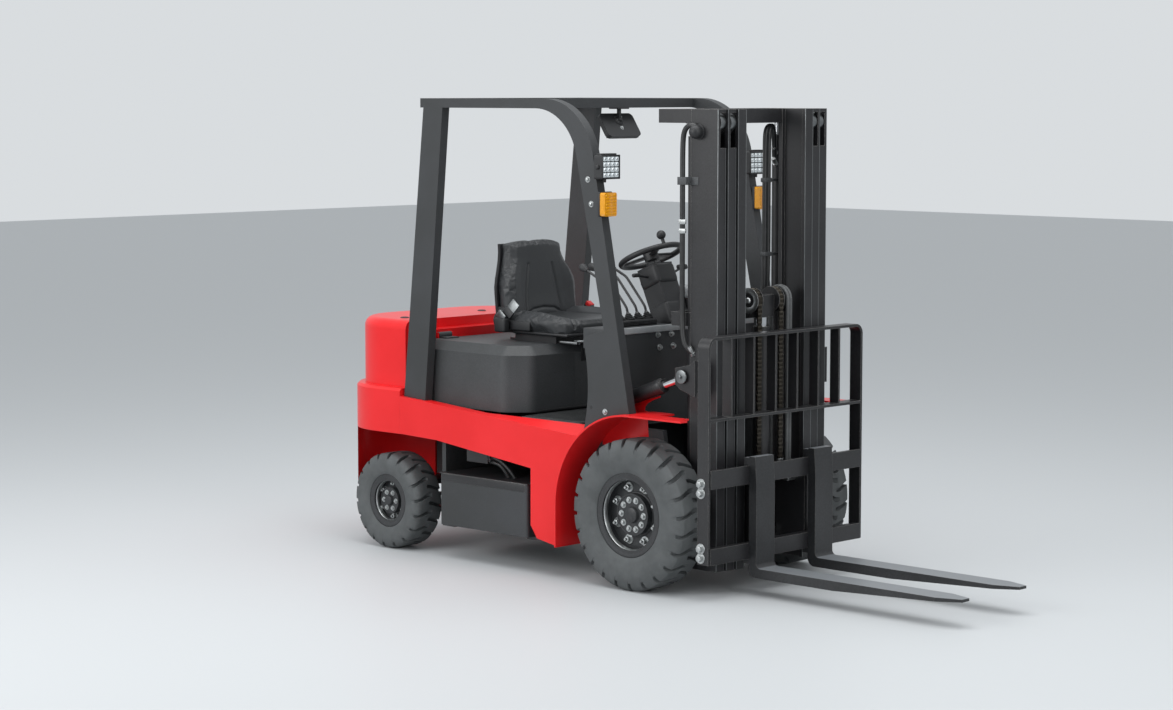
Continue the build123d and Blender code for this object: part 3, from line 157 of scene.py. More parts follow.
redPowder = powderCoat("redPowderCoat", "#D8181B", "#E12024", 0.34, 0.004, 0.05, "#E8494B", coat=0.12,
                       wearAndHighlight=0.25, ior=1.38, speckle=0.0)
blackPowder = powderCoat("blackTexturedPowderCoat", "#2B2D2E", "#35373A", 0.52, 0.0022, 0.32, "#5A5C5E",
                         wearAndHighlight=0.5)
# pale edge colour laid on strongly: rubbed paint, and a painted highlight along the edges of the black
# enamel parts, chiefly the mast rails
mastEnamel = powderCoat("blackMastEnamel", "#1B1B1D", "#262628", 0.40, 0.006, 0.08, "#8A8884", wearAndHighlight=1.5)
hoodPowder = powderCoat("charcoalHoodPowderCoat", "#333536", "#3F4143", 0.50, 0.003, 0.45, "#66686A",
                        wearAndHighlight=0.4)
forkEnamel = powderCoat("blackForkEnamel", "#1A1B1D", "#2B2C2E", 0.42, 0.008, 0.10, "#77736C", wearAndHighlight=0.9)
# pallets rub the blade tops to dull bare steel
tree = forkEnamel.node_tree
shader = tree.nodes["Principled BSDF"]
normal = addNode(tree, "ShaderNodeNewGeometry").outputs["Normal"]
facing = addNode(tree, "ShaderNodeSeparateXYZ", links={"Vector": normal})
rubbed = addNode(tree, "ShaderNodeMapRange", {"From Min": 0.8, "From Max": 0.98, "To Max": 0.8},
                 {"Value": facing.outputs["Z"]})
enamel = shader.inputs["Base Color"].links[0].from_socket
bare = addNode(tree, "ShaderNodeMix", {"B": lin("#7B7F83")},
               {"Factor": rubbed.outputs["Result"], "A": enamel}, data_type="RGBA")
tree.links.new(bare.outputs["Result"], shader.inputs["Base Color"])
rimEnamel = powderCoat("blackRimEnamel", "#232426", "#303234", 0.45, 0.005, 0.08, "#6B6B6B", wearAndHighlight=0.6)
greyPlate = powderCoat("greyFloorEnamel", "#3A3C3E", "#4A4C4E", 0.6, 0.004, 0.15, "#77797B", wearAndHighlight=0.6)
castPaint = powderCoat("blackCastingPaint", "#1D1E20", "#2A2B2D", 0.6, 0.003, 0.5, "#4A4A4A", wearAndHighlight=0.4)


def metal(name, colour, rough, brush=0.0):
    mat, tree, shader, place = newMaterial(name)
    shader.inputs["Metallic"].default_value = 1.0
    ramp, noise = twoTone(tree, place, 40.0, 4.0, 0.3, 0.7, lin(colour), toned(colour, 0.86))
    tree.links.new(ramp.outputs["Color"], shader.inputs["Base Color"])
    roughRange(tree, shader, noise.outputs["Fac"], rough * 0.8, rough * 1.3)
    if brush:
        grainBump(tree, shader, place, brush, 0.15, 0.0003)
    return mat


hardChrome = metal("hardChromeRod", "#D9DBDE", 0.10)
zincPlate = metal("zincPlatedSteel", "#BCBFBF", 0.36, 0.004)
chainSteel = metal("oiledChainSteel", "#4A4640", 0.38, 0.003)
rollerSteel = metal("wornRollerSteel", "#7C7F80", 0.35, 0.004)


def rubber(name, colourA, colourB, dust, rough, size):
    # cured rubber: dull, slightly grey with dust in blotches
    mat, tree, shader, place = newMaterial(name)
    ramp, noise = twoTone(tree, place, 1 / size, 6.0, 0.4, 0.72, lin(colourA), lin(colourB))
    film = addNode(tree, "ShaderNodeTexNoise", {"Scale": 7.0, "Detail": 6.0}, {"Vector": place})
    share = addNode(tree, "ShaderNodeMapRange", {"From Min": 0.45, "From Max": 0.8, "To Max": 0.45},
                    {"Value": film.outputs["Fac"]})
    mix = addNode(tree, "ShaderNodeMix", {"B": lin(dust)},
                  {"Factor": share.outputs["Result"], "A": ramp.outputs["Color"]}, data_type="RGBA")
    tree.links.new(mix.outputs["Result"], shader.inputs["Base Color"])
    roughRange(tree, shader, noise.outputs["Fac"], rough - 0.08, rough + 0.08)
    grainBump(tree, shader, place, 0.003, 0.25, 0.0006)
    return mat


tyreRubber = rubber("curedTyreRubber", "#474A4B", "#525556", "#646768", 0.74, 0.05)
hoseRubber = rubber("hydraulicHoseRubber", "#1E1F20", "#2A2B2C", "#3A3A39", 0.4, 0.02)
greyHose = rubber("braidedHoseCover", "#4A4C4D", "#585A5B", "#6A6B6A", 0.5, 0.02)
matRubber = rubber("ribbedMatRubber", "#232526", "#2E3031", "#454645", 0.66, 0.03)


def plastic(name, colour, rough, grain=0.0015, strength=0.2):
    mat, tree, shader, place = newMaterial(name)
    ramp, noise = twoTone(tree, place, 25.0, 4.0, 0.3, 0.7, lin(colour), toned(colour, 1.2))
    tree.links.new(ramp.outputs["Color"], shader.inputs["Base Color"])
    roughRange(tree, shader, noise.outputs["Fac"], rough - 0.05, rough + 0.07)
    grainBump(tree, shader, place, grain, strength, 0.0003)
    return mat


blackAbs = plastic("mouldedBlackAbs", "#1C1D1F", 0.5)
greyAbs = plastic("mouldedGreyAbs", "#8A8D8F", 0.5)
redPlastic = plastic("mouldedRedPlastic", "#B3191B", 0.4)
seatVinyl = plastic("grainedSeatVinyl", "#292B2D", 0.44, 0.0022, 0.4)


def lens(name, colour, rough, transmission):
    mat, tree, shader, place = newMaterial(name)
    ramp, noise = twoTone(tree, place, 60.0, 2.0, 0.4, 0.6, lin(colour), toned(colour, 0.92))
    tree.links.new(ramp.outputs["Color"], shader.inputs["Base Color"])
    shader.inputs["Roughness"].default_value = rough
    shader.inputs["IOR"].default_value = 1.58
    shader.inputs["Transmission Weight"].default_value = transmission
    shader.inputs["Coat Weight"].default_value = 0.6
    return mat


amberLens = lens("amberPolycarbonate", "#F5A70F", 0.12, 0.2)
rubyLens = lens("rubyPolycarbonate", "#B5121A", 0.12, 0.2)
mirrorSilver = metal("silveredMirror", "#E6EAEC", 0.03)
ledLens, tree, shader, place = newMaterial("frostedLedLens")  # milky cells, faintly lit from inside
ramp, noise = twoTone(tree, place, 220.0, 2.0, 0.35, 0.65, lin("#C3CCD0"), lin("#D9E1E4"))
tree.links.new(ramp.outputs["Color"], shader.inputs["Base Color"])
tree.links.new(ramp.outputs["Color"], shader.inputs["Emission Color"])
shader.inputs["Roughness"].default_value = 0.25
shader.inputs["Emission Strength"].default_value = 0.12

finishes = {"red_paint": redPowder, "black_paint": mastEnamel, "black_textured": blackPowder,
            "steel_grey": greyPlate, "cast": castPaint, "tyre_rubber": tyreRubber, "rim_paint": rimEnamel,
            "bright_rod": hardChrome, "plastic": blackAbs, "lamp_lens": blackAbs, "amber_lens": amberLens,
            "red_lens": rubyLens, "seat_vinyl": seatVinyl, "mirror_glass": blackAbs,
            "chain_steel": chainSteel, "fork_steel": forkEnamel, }
for row in frame["record"]["subparts"]:
    cadNode = nodes[row["node"]]
    cadNode.data.materials.clear()
    cadNode.data.materials.append(finishes[row["material_slot"]])
nodes["hood"].data.materials[0] = hoodPowder
nodes["chassis_frame"].data.materials[0] = blackPowder
print("materials set on the solids")

# studio: a plain pale floor and soft light
stageSet = {"floor": "#BABDBF", "rough": 0.55, "size": 30.0}
floorMesh = bpy.data.meshes.new("studioFloor")
bm = bmesh.new()
bmesh.ops.create_grid(bm, x_segments=1, y_segments=1, size=stageSet["size"])
bm.to_mesh(floorMesh)
bm.free()
floor = bpy.data.objects.new("studioFloor", floorMesh)
scene.collection.objects.link(floor)
floorMat, tree, shader, place = newMaterial("paleStudioFloor")
shader.inputs["Base Color"].default_value = lin(stageSet["floor"])
shader.inputs["Roughness"].default_value = stageSet["rough"]
floorMesh.materials.append(floorMat)

world = bpy.data.worlds.new("softRoom")
scene.world = world
world.use_nodes = True
tree = world.node_tree
paths = addNode(tree, "ShaderNodeLightPath")
up = addNode(tree, "ShaderNodeTexCoord")
grade = addNode(tree, "ShaderNodeSeparateXYZ", links={"Vector": up.outputs["Generated"]})
shade = addNode(tree, "ShaderNodeMapRange", {"From Min": -0.2, "From Max": 1.0, "To Min": 0.62,
                                             "To Max": 0.95}, {"Value": grade.outputs["Z"]})
backing = tree.nodes["Background"]
backing.inputs["Color"].default_value = lin("#EDF1F4")
camShare = addNode(tree, "ShaderNodeMix", {"B": 0.82},
                   {"Factor": paths.outputs["Is Camera Ray"], "A": shade.outputs["Result"]})
tree.links.new(camShare.outputs["Result"], backing.inputs["Strength"])


def softLamp(name, place, aim, size, power, colour="#FFFFFF"):
    data = bpy.data.lights.new(name, "AREA")
    data.shape = "RECTANGLE"
    data.size, data.size_y = size
    data.energy = power
    data.color = lin(colour)[:3]
    lamp = bpy.data.objects.new(name, data)
    scene.collection.objects.link(lamp)
    lamp.location = place
    lamp.rotation_euler = (Vector(aim) - Vector(place)).to_track_quat("-Z", "Y").to_euler()
    return lamp


softLamp("skyPanel", (0.3, -0.5, 6.0), (0, 0, 0.8), (6.0, 5.0), 270)
softLamp("rightPanel", (-2.0, -6.5, 3.4), (-0.3, 0, 0.9), (5.0, 3.0), 225)
softLamp("frontPanel", (7.0, -1.5, 3.2), (0.4, 0, 1.0), (3.5, 3.0), 115)

# camera solved from the photograph, no shift
cameraSet = {"target": (-0.1784, -0.4014, 0.9986), "azimuth": 44.2423, "elevation": 5.5701,
             "distance": 12.2454, "focalPx": 2735.64, "photoPx": 1173, "sensor": 36.0}
az, el = math.radians(cameraSet["azimuth"]), math.radians(cameraSet["elevation"])
back = Vector((math.sin(az) * math.cos(el), -math.cos(az) * math.cos(el), math.sin(el)))
camData = bpy.data.cameras.new("photoCamera")
camData.sensor_fit = "HORIZONTAL"
camData.sensor_width = cameraSet["sensor"]
camData.lens = cameraSet["focalPx"] / cameraSet["photoPx"] * cameraSet["sensor"]
camData.clip_end = 100.0
camera = bpy.data.objects.new("photoCamera", camData)
scene.collection.objects.link(camera)
camera.location = Vector(cameraSet["target"]) + back * cameraSet["distance"]
camera.rotation_euler = back.to_track_quat("Z", "Y").to_euler()
scene.camera = camera
print("stage and camera ready")

# small forms are made once as meshes and stamped where a piece needs them
shift = Matrix.Translation


def asMesh(bm):
    bmesh.ops.remove_doubles(bm, verts=bm.verts[:], dist=1e-5)
    bmesh.ops.recalc_face_normals(bm, faces=bm.faces[:])
    mesh = bpy.data.meshes.new("form")
    bm.to_mesh(mesh)
    bm.free()
    return mesh


def turned(profile, steps=32):
    # (radius, height) points spun about Z
    bm = bmesh.new()
    ring = [bm.verts.new((r, 0, h)) for r, h in profile]
    line = [bm.edges.new(pair) for pair in zip(ring, ring[1:])]
    bmesh.ops.spin(bm, geom=ring + line, cent=(0, 0, 0), axis=(0, 0, 1), angle=2 * math.pi, steps=steps,
                   use_merge=True)
    return asMesh(bm)


def block(low, high, round=0.002, segments=2):
    low, high = Vector(low), Vector(high)
    bm = bmesh.new()
    bmesh.ops.create_cube(bm, size=1.0)
    bmesh.ops.transform(bm, matrix=shift((low + high) / 2) @ Matrix.Diagonal((high - low).to_4d()),
                        verts=bm.verts)
    if round:
        bmesh.ops.bevel(bm, geom=bm.edges[:], offset=round, offset_type="OFFSET", affect="EDGES",
                        segments=segments, profile=0.5, material=-1, clamp_overlap=True)
    return asMesh(bm)


def hexHead(across, height):
    # a hexagon head with its chamfered top, standing on a washer
    bm = bmesh.new()
    bmesh.ops.create_cone(bm, cap_ends=True, segments=6, radius1=across * 0.577, radius2=across * 0.577,
                          depth=height, matrix=shift((0, 0, height / 2 + across * 0.1)))
    top = [f for f in bm.faces if f.normal.z > 0.9]
    bmesh.ops.bevel(bm, geom=[e for f in top for e in f.edges], offset=height * 0.14, offset_type="OFFSET",
                    affect="EDGES", segments=2, profile=0.5, material=-1)
    bmesh.ops.create_cone(bm, cap_ends=True, segments=20, radius1=across * 0.95, radius2=across * 0.9,
                          depth=across * 0.12, matrix=shift((0, 0, across * 0.06)))
    return asMesh(bm)


def tube(points, radius, sides=4, resolution=8):
    # a hose or bent rod: a smooth line through the control points, with closed ends
    curve = bpy.data.curves.new("line", "CURVE")
    curve.dimensions = "3D"
    spline = curve.splines.new("NURBS")
    spline.points.add(len(points) - 1)
    for point, co in zip(spline.points, points):
        point.co = (*co, 1.0)
    spline.order_u = 3
    spline.use_endpoint_u = True
    curve.resolution_u = resolution
    curve.bevel_depth = radius
    curve.bevel_resolution = sides
    curve.use_fill_caps = True
    holder = bpy.data.objects.new("line", curve)
    mesh = bpy.data.meshes.new_from_object(holder)
    bpy.data.objects.remove(holder)
    return mesh


def along(place, axis=(0, 0, 1), spin=0.0):
    # frame at place with Z along axis
    return (shift(Vector(place)) @ Vector(axis).to_track_quat("Z", "Y").to_matrix().to_4x4()
            @ Matrix.Rotation(spin, 4, "Z"))


def spun(degrees, axis):
    return Matrix.Rotation(math.radians(degrees), 4, axis)


def onSide(point, side):
    # a left-hand point, or its right-hand twin where side is -1
    return Vector((point[0], side * point[1], point[2]))


flip = Matrix.Diagonal((1, -1, 1, 1))  # left-hand copy of a right-hand piece
still = Matrix.Identity(4)


def bothSides(forms, places=(still,)):
    # each form at each place, with its left-hand copy
    return [(form, turn @ place) for form in forms for place in places for turn in (still, flip)]


def joined(name, mat, stamps, sharp=35):
    # one piece from many forms: a stamp is a form with its place, or a form that stays where it was made
    bm = bmesh.new()
    for stamp in stamps:
        form, place = stamp if isinstance(stamp, tuple) else (stamp, still)
        start = len(bm.verts)
        bm.from_mesh(form)
        bm.verts.ensure_lookup_table()
        bmesh.ops.transform(bm, matrix=place, verts=bm.verts[start:])
    bmesh.ops.recalc_face_normals(bm, faces=bm.faces[:])
    mesh = bpy.data.meshes.new(name)
    bm.to_mesh(mesh)
    bm.free()
    mesh.materials.append(mat)
    mesh.shade_smooth()
    mesh.set_sharp_from_angle(angle=math.radians(sharp))
    piece = bpy.data.objects.new(name, mesh)
    scene.collection.objects.link(piece)
    return piece


def gather(name, body, mat, stamps, sharp=35, replaced=()):
    piece = joined(name, mat, stamps, sharp)
    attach(piece, body)
    if replaced:
        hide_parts(*replaced)
    return piece


# wheels: moulded tread, rim rings, nuts and hub bolts
frontWheel = {"node": "front_tyre", "centre": (0.224, 0.481, 0.334), "radius": 0.334, "width": 0.188,
              "seat": 0.168, "blocks": 24, "groove": 0.016, "depth": 0.022, "slant": 0.10, "nuts": 8,
              "nutCircle": 0.124, "nut": 0.024, "nutFace": 0.0145, "bolts": 10, "boltCircle": 0.066,
              "bolt": 0.016, "hubFace": 0.0455, "hub": 0.092}
rearWheel = {"node": "rear_tyre", "centre": (-1.376, 0.462, 0.2285), "radius": 0.2285, "width": 0.173,
             "seat": 0.108, "blocks": 18, "groove": 0.014, "depth": 0.017, "slant": 0.12, "nuts": 6,
             "nutCircle": 0.079, "nut": 0.020, "nutFace": 0.0225, "bolts": 6, "boltCircle": 0.042,
             "bolt": 0.013, "hubFace": 0.0555, "hub": 0.062}


def tyreForm(spec):
    # one tread pitch: a sheet of columns round the tyre and rows across it, grooves pushed in, then spun
    r, w, bead = spec["radius"], spec["width"], spec["seat"] + 0.0185
    pitch = 2 * math.pi / spec["blocks"]
    half = spec["groove"] / r / 2
    ease = 0.0025 / r
    cuts = [0.0]
    for middle in (pitch * 0.25, pitch * 0.75):
        cuts += [middle - half - ease, middle - half, middle, middle + half, middle + half + ease]
    cuts = cuts + [pitch * 0.5, pitch]
    cuts.sort()
    side = [(bead, 0.405), (bead + 0.004, 0.425), (bead + 0.3 * (0.78 * r - bead), 0.463),
            (0.78 * r, 0.499), (0.86 * r, 0.495), (0.925 * r, 0.470), (0.965 * r, 0.432),
            (0.988 * r, 0.385), (0.995 * r, 0.32), (0.998 * r, 0.20), (0.9995 * r, 0.06)]
    rows = [(a, -b) for a, b in side] + [(a, b) for a, b in reversed(side)]
    bm = bmesh.new()
    bmesh.ops.create_grid(bm, x_segments=len(cuts) - 1, y_segments=len(rows) - 1, size=1.0)
    for vert in bm.verts:
        col = round((vert.co.x + 1) / 2 * (len(cuts) - 1))
        row = round((vert.co.y + 1) / 2 * (len(rows) - 1))
        radius, across = rows[row]
        lane = 0.25 if across > 0 else 0.75
        grooved = abs(cuts[col] - lane * pitch) <= half + 1e-6 and radius >= 0.86 * r - 1e-6
        deep = spec["depth"] if grooved else 0.0
        if radius < 0.93 * r and deep:
            deep *= 0.55
        turn = cuts[col] + spec["slant"] * max(0.0, 0.42 - abs(across)) / 0.42
        vert.co = ((radius - deep) * math.cos(turn), (radius - deep) * math.sin(turn), across * w)
    bmesh.ops.spin(bm, geom=bm.verts[:] + bm.edges[:] + bm.faces[:], cent=(0, 0, 0), axis=(0, 0, 1),
                   angle=2 * math.pi, steps=spec["blocks"], use_duplicate=True, use_merge=True)
    return asMesh(bm)


def dressWheel(spec, body, label, side):
    hub = along(onSide(spec["centre"], side), (0, side, 0))
    r, w = spec["seat"], spec["width"]
    gather(label + "Tyre", body, tyreRubber, [(tyreForm(spec), hub)], 28,
           [spec["node"] + ("_right" if side < 0 else "_left")])
    lip = 0.40 * w
    rings = turned([(r - 0.0118, lip - 0.012), (r - 0.006, lip - 0.002), (r + 0.004, lip + 0.0012),
                    (r + 0.0155, lip + 0.0015), (r + 0.0175, lip - 0.001)], 72)
    gather(label + "LockRing", body, rimEnamel, [(rings, hub)])
    # bright zinc ring in the rim's gutter: a painted highlight on the rim's outer lip
    rimHighlightRing = turned([(r - 0.0125, lip - 0.010), (r - 0.0155, lip - 0.014), (r - 0.0165, lip - 0.03),
                   (r - 0.0125, lip - 0.036)], 72)
    gather(label + "GutterHighlightRing", body, zincPlate, [(rimHighlightRing, hub)])
    nut, bolt = hexHead(spec["nut"], spec["nut"] * 0.75), hexHead(spec["bolt"], spec["bolt"] * 0.6)
    stud = turned([(0.0, spec["nut"] * 1.35), (spec["nut"] * 0.24, spec["nut"] * 1.3),
                   (spec["nut"] * 0.27, spec["nut"] * 1.2), (spec["nut"] * 0.27, 0.0)], 14)
    stamps = []
    for i in range(spec["nuts"]):
        a = 2 * math.pi * (i + 0.5) / spec["nuts"]
        spot = hub @ shift((spec["nutCircle"] * math.cos(a), spec["nutCircle"] * math.sin(a),
                            spec["nutFace"]))
        stamps += [(nut, spot @ Matrix.Rotation(a, 4, "Z")), (stud, spot)]
    for i in range(spec["bolts"]):
        a = 2 * math.pi * i / spec["bolts"]
        spot = hub @ shift((spec["boltCircle"] * math.cos(a), spec["boltCircle"] * math.sin(a),
                            spec["hubFace"]))
        stamps.append((bolt, spot @ Matrix.Rotation(1.3 * a, 4, "Z")))
    gather(label + "Nuts", body, zincPlate, stamps)
    h = spec["hub"]
    flange = turned([(h + 0.0005, spec["nutFace"] + 0.004), (h + 0.006, spec["nutFace"] + 0.003),
                     (h + 0.010, spec["nutFace"] - 0.002)], 64)
    cap = turned([(0.0, spec["hubFace"] + 0.016), (0.30 * h, spec["hubFace"] + 0.0155),
                  (0.36 * h, spec["hubFace"] + 0.012), (0.40 * h, spec["hubFace"] - 0.001)], 48)
    rim = turned([(0.93 * h, spec["hubFace"] - 0.0008), (0.95 * h, spec["hubFace"] + 0.003),
                  (1.0 * h, spec["hubFace"] + 0.0025), (1.008 * h, spec["hubFace"] - 0.003)], 64)
    gather(label + "HubFace", body, rimEnamel, [(flange, hub), (cap, hub), (rim, hub)])


for label, spec in (("frontWheel", frontWheel), ("rearWheel", rearWheel)):
    for sideName, side in (("Right", -1), ("Left", 1)):
        body = label.replace("Wheel", "_wheel_") + sideName.lower()
        dressWheel(spec, body, label + sideName, side)
print("wheels dressed")

# seat: two stuffed vinyl pads on a hard shell, with belt, buckles and side guards
seatPads = {"cushion": ((-0.882, -0.232, 1.052), (-0.468, 0.232, 1.118)),
            "back": ((-0.955, -0.226, 1.062), (-0.868, 0.226, 1.476)), "voxel": 0.005, "pressure": 4.0,
            "frames": 20, "cap": 0.012, "seamDepth": 0.006, "seamWidth": 0.006}


def smoothStep(value, start, end):
    t = max(0.0, min(1.0, (value - start) / (end - start)))
    return t * t * (3 - 2 * t)


def cushionShape(u, v, w):
    # u rear to front, v right to left, w bottom to top, each 0..1
    low, high = (Vector(c) for c in seatPads["cushion"])
    side = abs(2 * v - 1)
    wing = 0.030 * smoothStep(side, 0.62, 0.86) * (1 - 0.75 * smoothStep(u, 0.45, 0.95))
    dish = -0.010 * (1 - side ** 2) * smoothStep(u, 0.0, 0.2) * (1 - smoothStep(u, 0.75, 1.0))
    roll = -0.016 * smoothStep(u, 0.86, 1.0)
    narrow = 1 - 0.10 * smoothStep(u, 0.82, 1.0) * side - 0.06 * (1 - smoothStep(u, 0.0, 0.12)) * side
    y = (low.y + high.y) / 2 + (v - 0.5) * (high.y - low.y) * narrow
    x = low.x + u * (high.x - low.x) - 0.030 * side ** 4 * smoothStep(u, 0.7, 1.0)
    z = low.z + w * (high.z - low.z) + w * (wing + dish + roll)
    return Vector((x, y, z))


def backShape(u, v, w):
    # u rear to front, v right to left, w bottom to top
    low, high = (Vector(c) for c in seatPads["back"])
    side = abs(2 * v - 1)
    taper = 1 - 0.24 * smoothStep(w, 0.45, 0.98) - 0.05 * (1 - smoothStep(w, 0.0, 0.18))
    y = (v - 0.5) * (high.y - low.y) * taper
    wing = 0.024 * smoothStep(side, 0.58, 0.86) * (1 - smoothStep(w, 0.50, 0.85))
    lumbar = 0.012 * (1 - side ** 2) * math.exp(-((w - 0.16) / 0.14) ** 2)
    lean = -0.040 * w
    x = (low.x + 0.030 + lean + u * (high.x - low.x - 0.022) + u * (wing + lumbar)
         - 0.012 * side ** 2 * smoothStep(w, 0.6, 1.0))
    z = low.z + w * (high.z - low.z) - 0.018 * side ** 3 * smoothStep(w, 0.9, 1.0)
    return Vector((x, y, z))


def seamDip(point, lines):
    # how deep the nearest sewn line pulls the cover in
    near = 1.0
    for line in lines:
        for a, b in zip(line, line[1:]):
            a, b = Vector(a), Vector(b)
            t = max(0.0, min(1.0, (point - a).dot(b - a) / (b - a).length_squared))
            near = min(near, (point - (a + t * (b - a))).length)
    return seatPads["seamDepth"] * math.exp(-(near / seatPads["seamWidth"]) ** 2)


def stuffed(name, shape, seams, plane, facing, node):
    bm = bmesh.new()
    bmesh.ops.create_cube(bm, size=1.0)
    bmesh.ops.subdivide_edges(bm, edges=bm.edges[:], cuts=15, use_grid_fill=True)
    for vert in bm.verts:
        vert.co = shape(*(vert.co + Vector((0.5, 0.5, 0.5))))
    for _ in range(2):
        bmesh.ops.smooth_vert(bm, verts=bm.verts[:], factor=0.5, use_axis_x=True, use_axis_y=True,
                              use_axis_z=True)
    mesh = asMesh(bm)
    mesh.name = name
    mesh.materials.append(seatVinyl)
    pad = bpy.data.objects.new(name, mesh)
    scene.collection.objects.link(pad)
    pad.modifiers.new("even", "REMESH").voxel_size = seatPads["voxel"]
    bpy.context.view_layer.update()
    pad.data = bpy.data.meshes.new_from_object(pad.evaluated_get(bpy.context.evaluated_depsgraph_get()))
    pad.modifiers.clear()
    start = [v.co.copy() for v in pad.data.vertices]
    cloth = pad.modifiers.new("air", "CLOTH")
    cloth.settings.use_pressure = True
    cloth.settings.uniform_pressure_force = seatPads["pressure"]
    cloth.settings.effector_weights.gravity = 0.0
    cloth.settings.quality = 4
    cloth.point_cache.frame_end = seatPads["frames"]
    for frameNumber in range(1, seatPads["frames"] + 1):
        scene.frame_set(frameNumber)
    blown = pad.evaluated_get(bpy.context.evaluated_depsgraph_get()).to_mesh()
    for vert, was, now in zip(pad.data.vertices, start, [v.co.copy() for v in blown.vertices]):
        move = now - was
        if move.length > seatPads["cap"]:
            move *= seatPads["cap"] / move.length
        vert.co = was + move
    pad.modifiers.clear()
    scene.frame_set(1)
    normals = [v.normal.copy() for v in pad.data.vertices]
    for vert, normal in zip(pad.data.vertices, normals):
        if normal.dot(facing) > 0.15:
            flat = vert.co.copy()
            flat[plane] = 0.0
            vert.co -= normal * seamDip(flat, seams)
    pad.data.shade_smooth()
    finer = pad.modifiers.new("finer", "SUBSURF")
    finer.levels = finer.render_levels = 1
    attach(pad, "hood")
    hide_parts(node)
    return pad


cushionSeams = [[(-0.86, s * 0.135, 0), (-0.70, s * 0.140, 0), (-0.55, s * 0.150, 0),
                 (-0.475, s * 0.165, 0)] for s in (-1, 1)]
cushionSeams += [[(-0.545, -0.150, 0), (-0.535, 0.0, 0), (-0.545, 0.150, 0)]]
backSeams = [[(0, s * 0.120, 1.075), (0, s * 0.112, 1.16), (0, s * 0.098, 1.26), (0, s * 0.078, 1.36)]
             for s in (-1, 1)]
backSeams += [[(0, -0.118, 1.125), (0, -0.07, 1.148), (0, 0.0, 1.155), (0, 0.07, 1.148), (0, 0.118, 1.125)]]
stuffed("seatCushionPad", cushionShape, cushionSeams, 2, Vector((0, 0, 1)), "seat_cushion")
stuffed("seatBackPad", backShape, backSeams, 0, Vector((1, 0, 0)), "seat_backrest")

shellForm = {"thick": 0.016, "wrap": 0.010, "wide": 1.03, "low": 1.056, "high": 1.455}
bm = bmesh.new()
bmesh.ops.create_cube(bm, size=1.0)
bmesh.ops.subdivide_edges(bm, edges=bm.edges[:], cuts=9, use_grid_fill=True)
for vert in bm.verts:
    u, v, w = vert.co + Vector((0.5, 0.5, 0.5))
    inner = backShape(0.0, v, w)
    side = abs(2 * v - 1)
    vert.co = (inner.x - shellForm["thick"] * (1 - u) + shellForm["wrap"] * side ** 4,
               inner.y * shellForm["wide"], shellForm["low"] + w * (shellForm["high"] - shellForm["low"]))
shellMesh = asMesh(bm)
pan = block((-0.885, -0.225, 1.0465), (-0.475, 0.225, 1.060), 0.006)
hinge = turned([(0.0, 0.020), (0.030, 0.019), (0.040, 0.013), (0.042, 0.0), (0.0, 0.0)], 36)
arm = block((-0.936, 0.216, 1.055), (-0.878, 0.232, 1.165), 0.007, 3)
guardPad = block((-0.862, 0.232, 1.062), (-0.700, 0.246, 1.106), 0.006, 3)
sideParts = [shellMesh, pan]
for turn in (still, flip):
    sideParts += [(hinge, turn @ along((-0.906, 0.229, 1.100), (0, 1, 0))), (arm, turn), (guardPad, turn)]
gather("seatShell", "hood", blackAbs, sideParts)
slide = [block((-0.90, y - 0.012, 1.0105), (-0.46, y + 0.012, 1.022), 0.002) for y in (-0.165, 0.165)]
slide += [tube([(-0.49, -0.16, 1.026), (-0.442, -0.155, 1.024), (-0.438, -0.10, 1.024),
                (-0.438, 0.10, 1.024), (-0.442, 0.155, 1.024), (-0.49, 0.16, 1.026)], 0.006)]
gather("seatSlide", "hood", rollerSteel, slide)

beltSet = {"reel": (-0.862, -0.268, 1.085), "tongue": (-0.822, -0.262, 1.145),
           "cover": (-0.858, -0.266, 1.128), "buckle": (-0.815, 0.262, 1.135), "lie": 38, "roll": -12,
           "buckleLie": 32}
reel = block((-0.036, -0.020, -0.034), (0.036, 0.020, 0.034), 0.010, 3)
reelPlace = shift(beltSet["reel"])
gather("beltReel", "hood", blackAbs, [(reel, reelPlace)])
tongue = block((-0.026, -0.0025, -0.036), (0.026, 0.0025, 0.036), 0.002)
sleeve = block((-0.028, -0.006, -0.016), (0.028, 0.006, 0.016), 0.003)
lie = shift(beltSet["tongue"]) @ spun(beltSet["lie"], "Y") @ spun(beltSet["roll"], "X")
cover = block((-0.030, -0.024, -0.038), (0.030, 0.024, 0.038), 0.008, 3)
coverLie = shift(beltSet["cover"]) @ spun(beltSet["lie"], "Y")
gather("beltTongue", "hood", rollerSteel,
       [(tongue, lie @ shift((0, 0, 0.028))), (cover, coverLie @ Matrix.Diagonal((0.9, 0.6, 0.5, 1)))])
gather("beltSleeve", "hood", blackAbs, [(sleeve, lie)])
buckle = shift(beltSet["buckle"]) @ spun(beltSet["buckleLie"], "Y")
gather("beltBuckle", "hood", blackAbs,
       [(block((-0.024, -0.013, -0.045), (0.024, 0.013, 0.030), 0.006, 3), buckle),
        (block((-0.012, -0.004, -0.115), (0.012, 0.004, -0.040), 0.003), buckle)])
gather("beltRelease", "hood", redPlastic,
       [(block((-0.017, -0.0145, 0.012), (0.017, 0.0145, 0.0345), 0.004, 3), buckle)])
print("seat made")

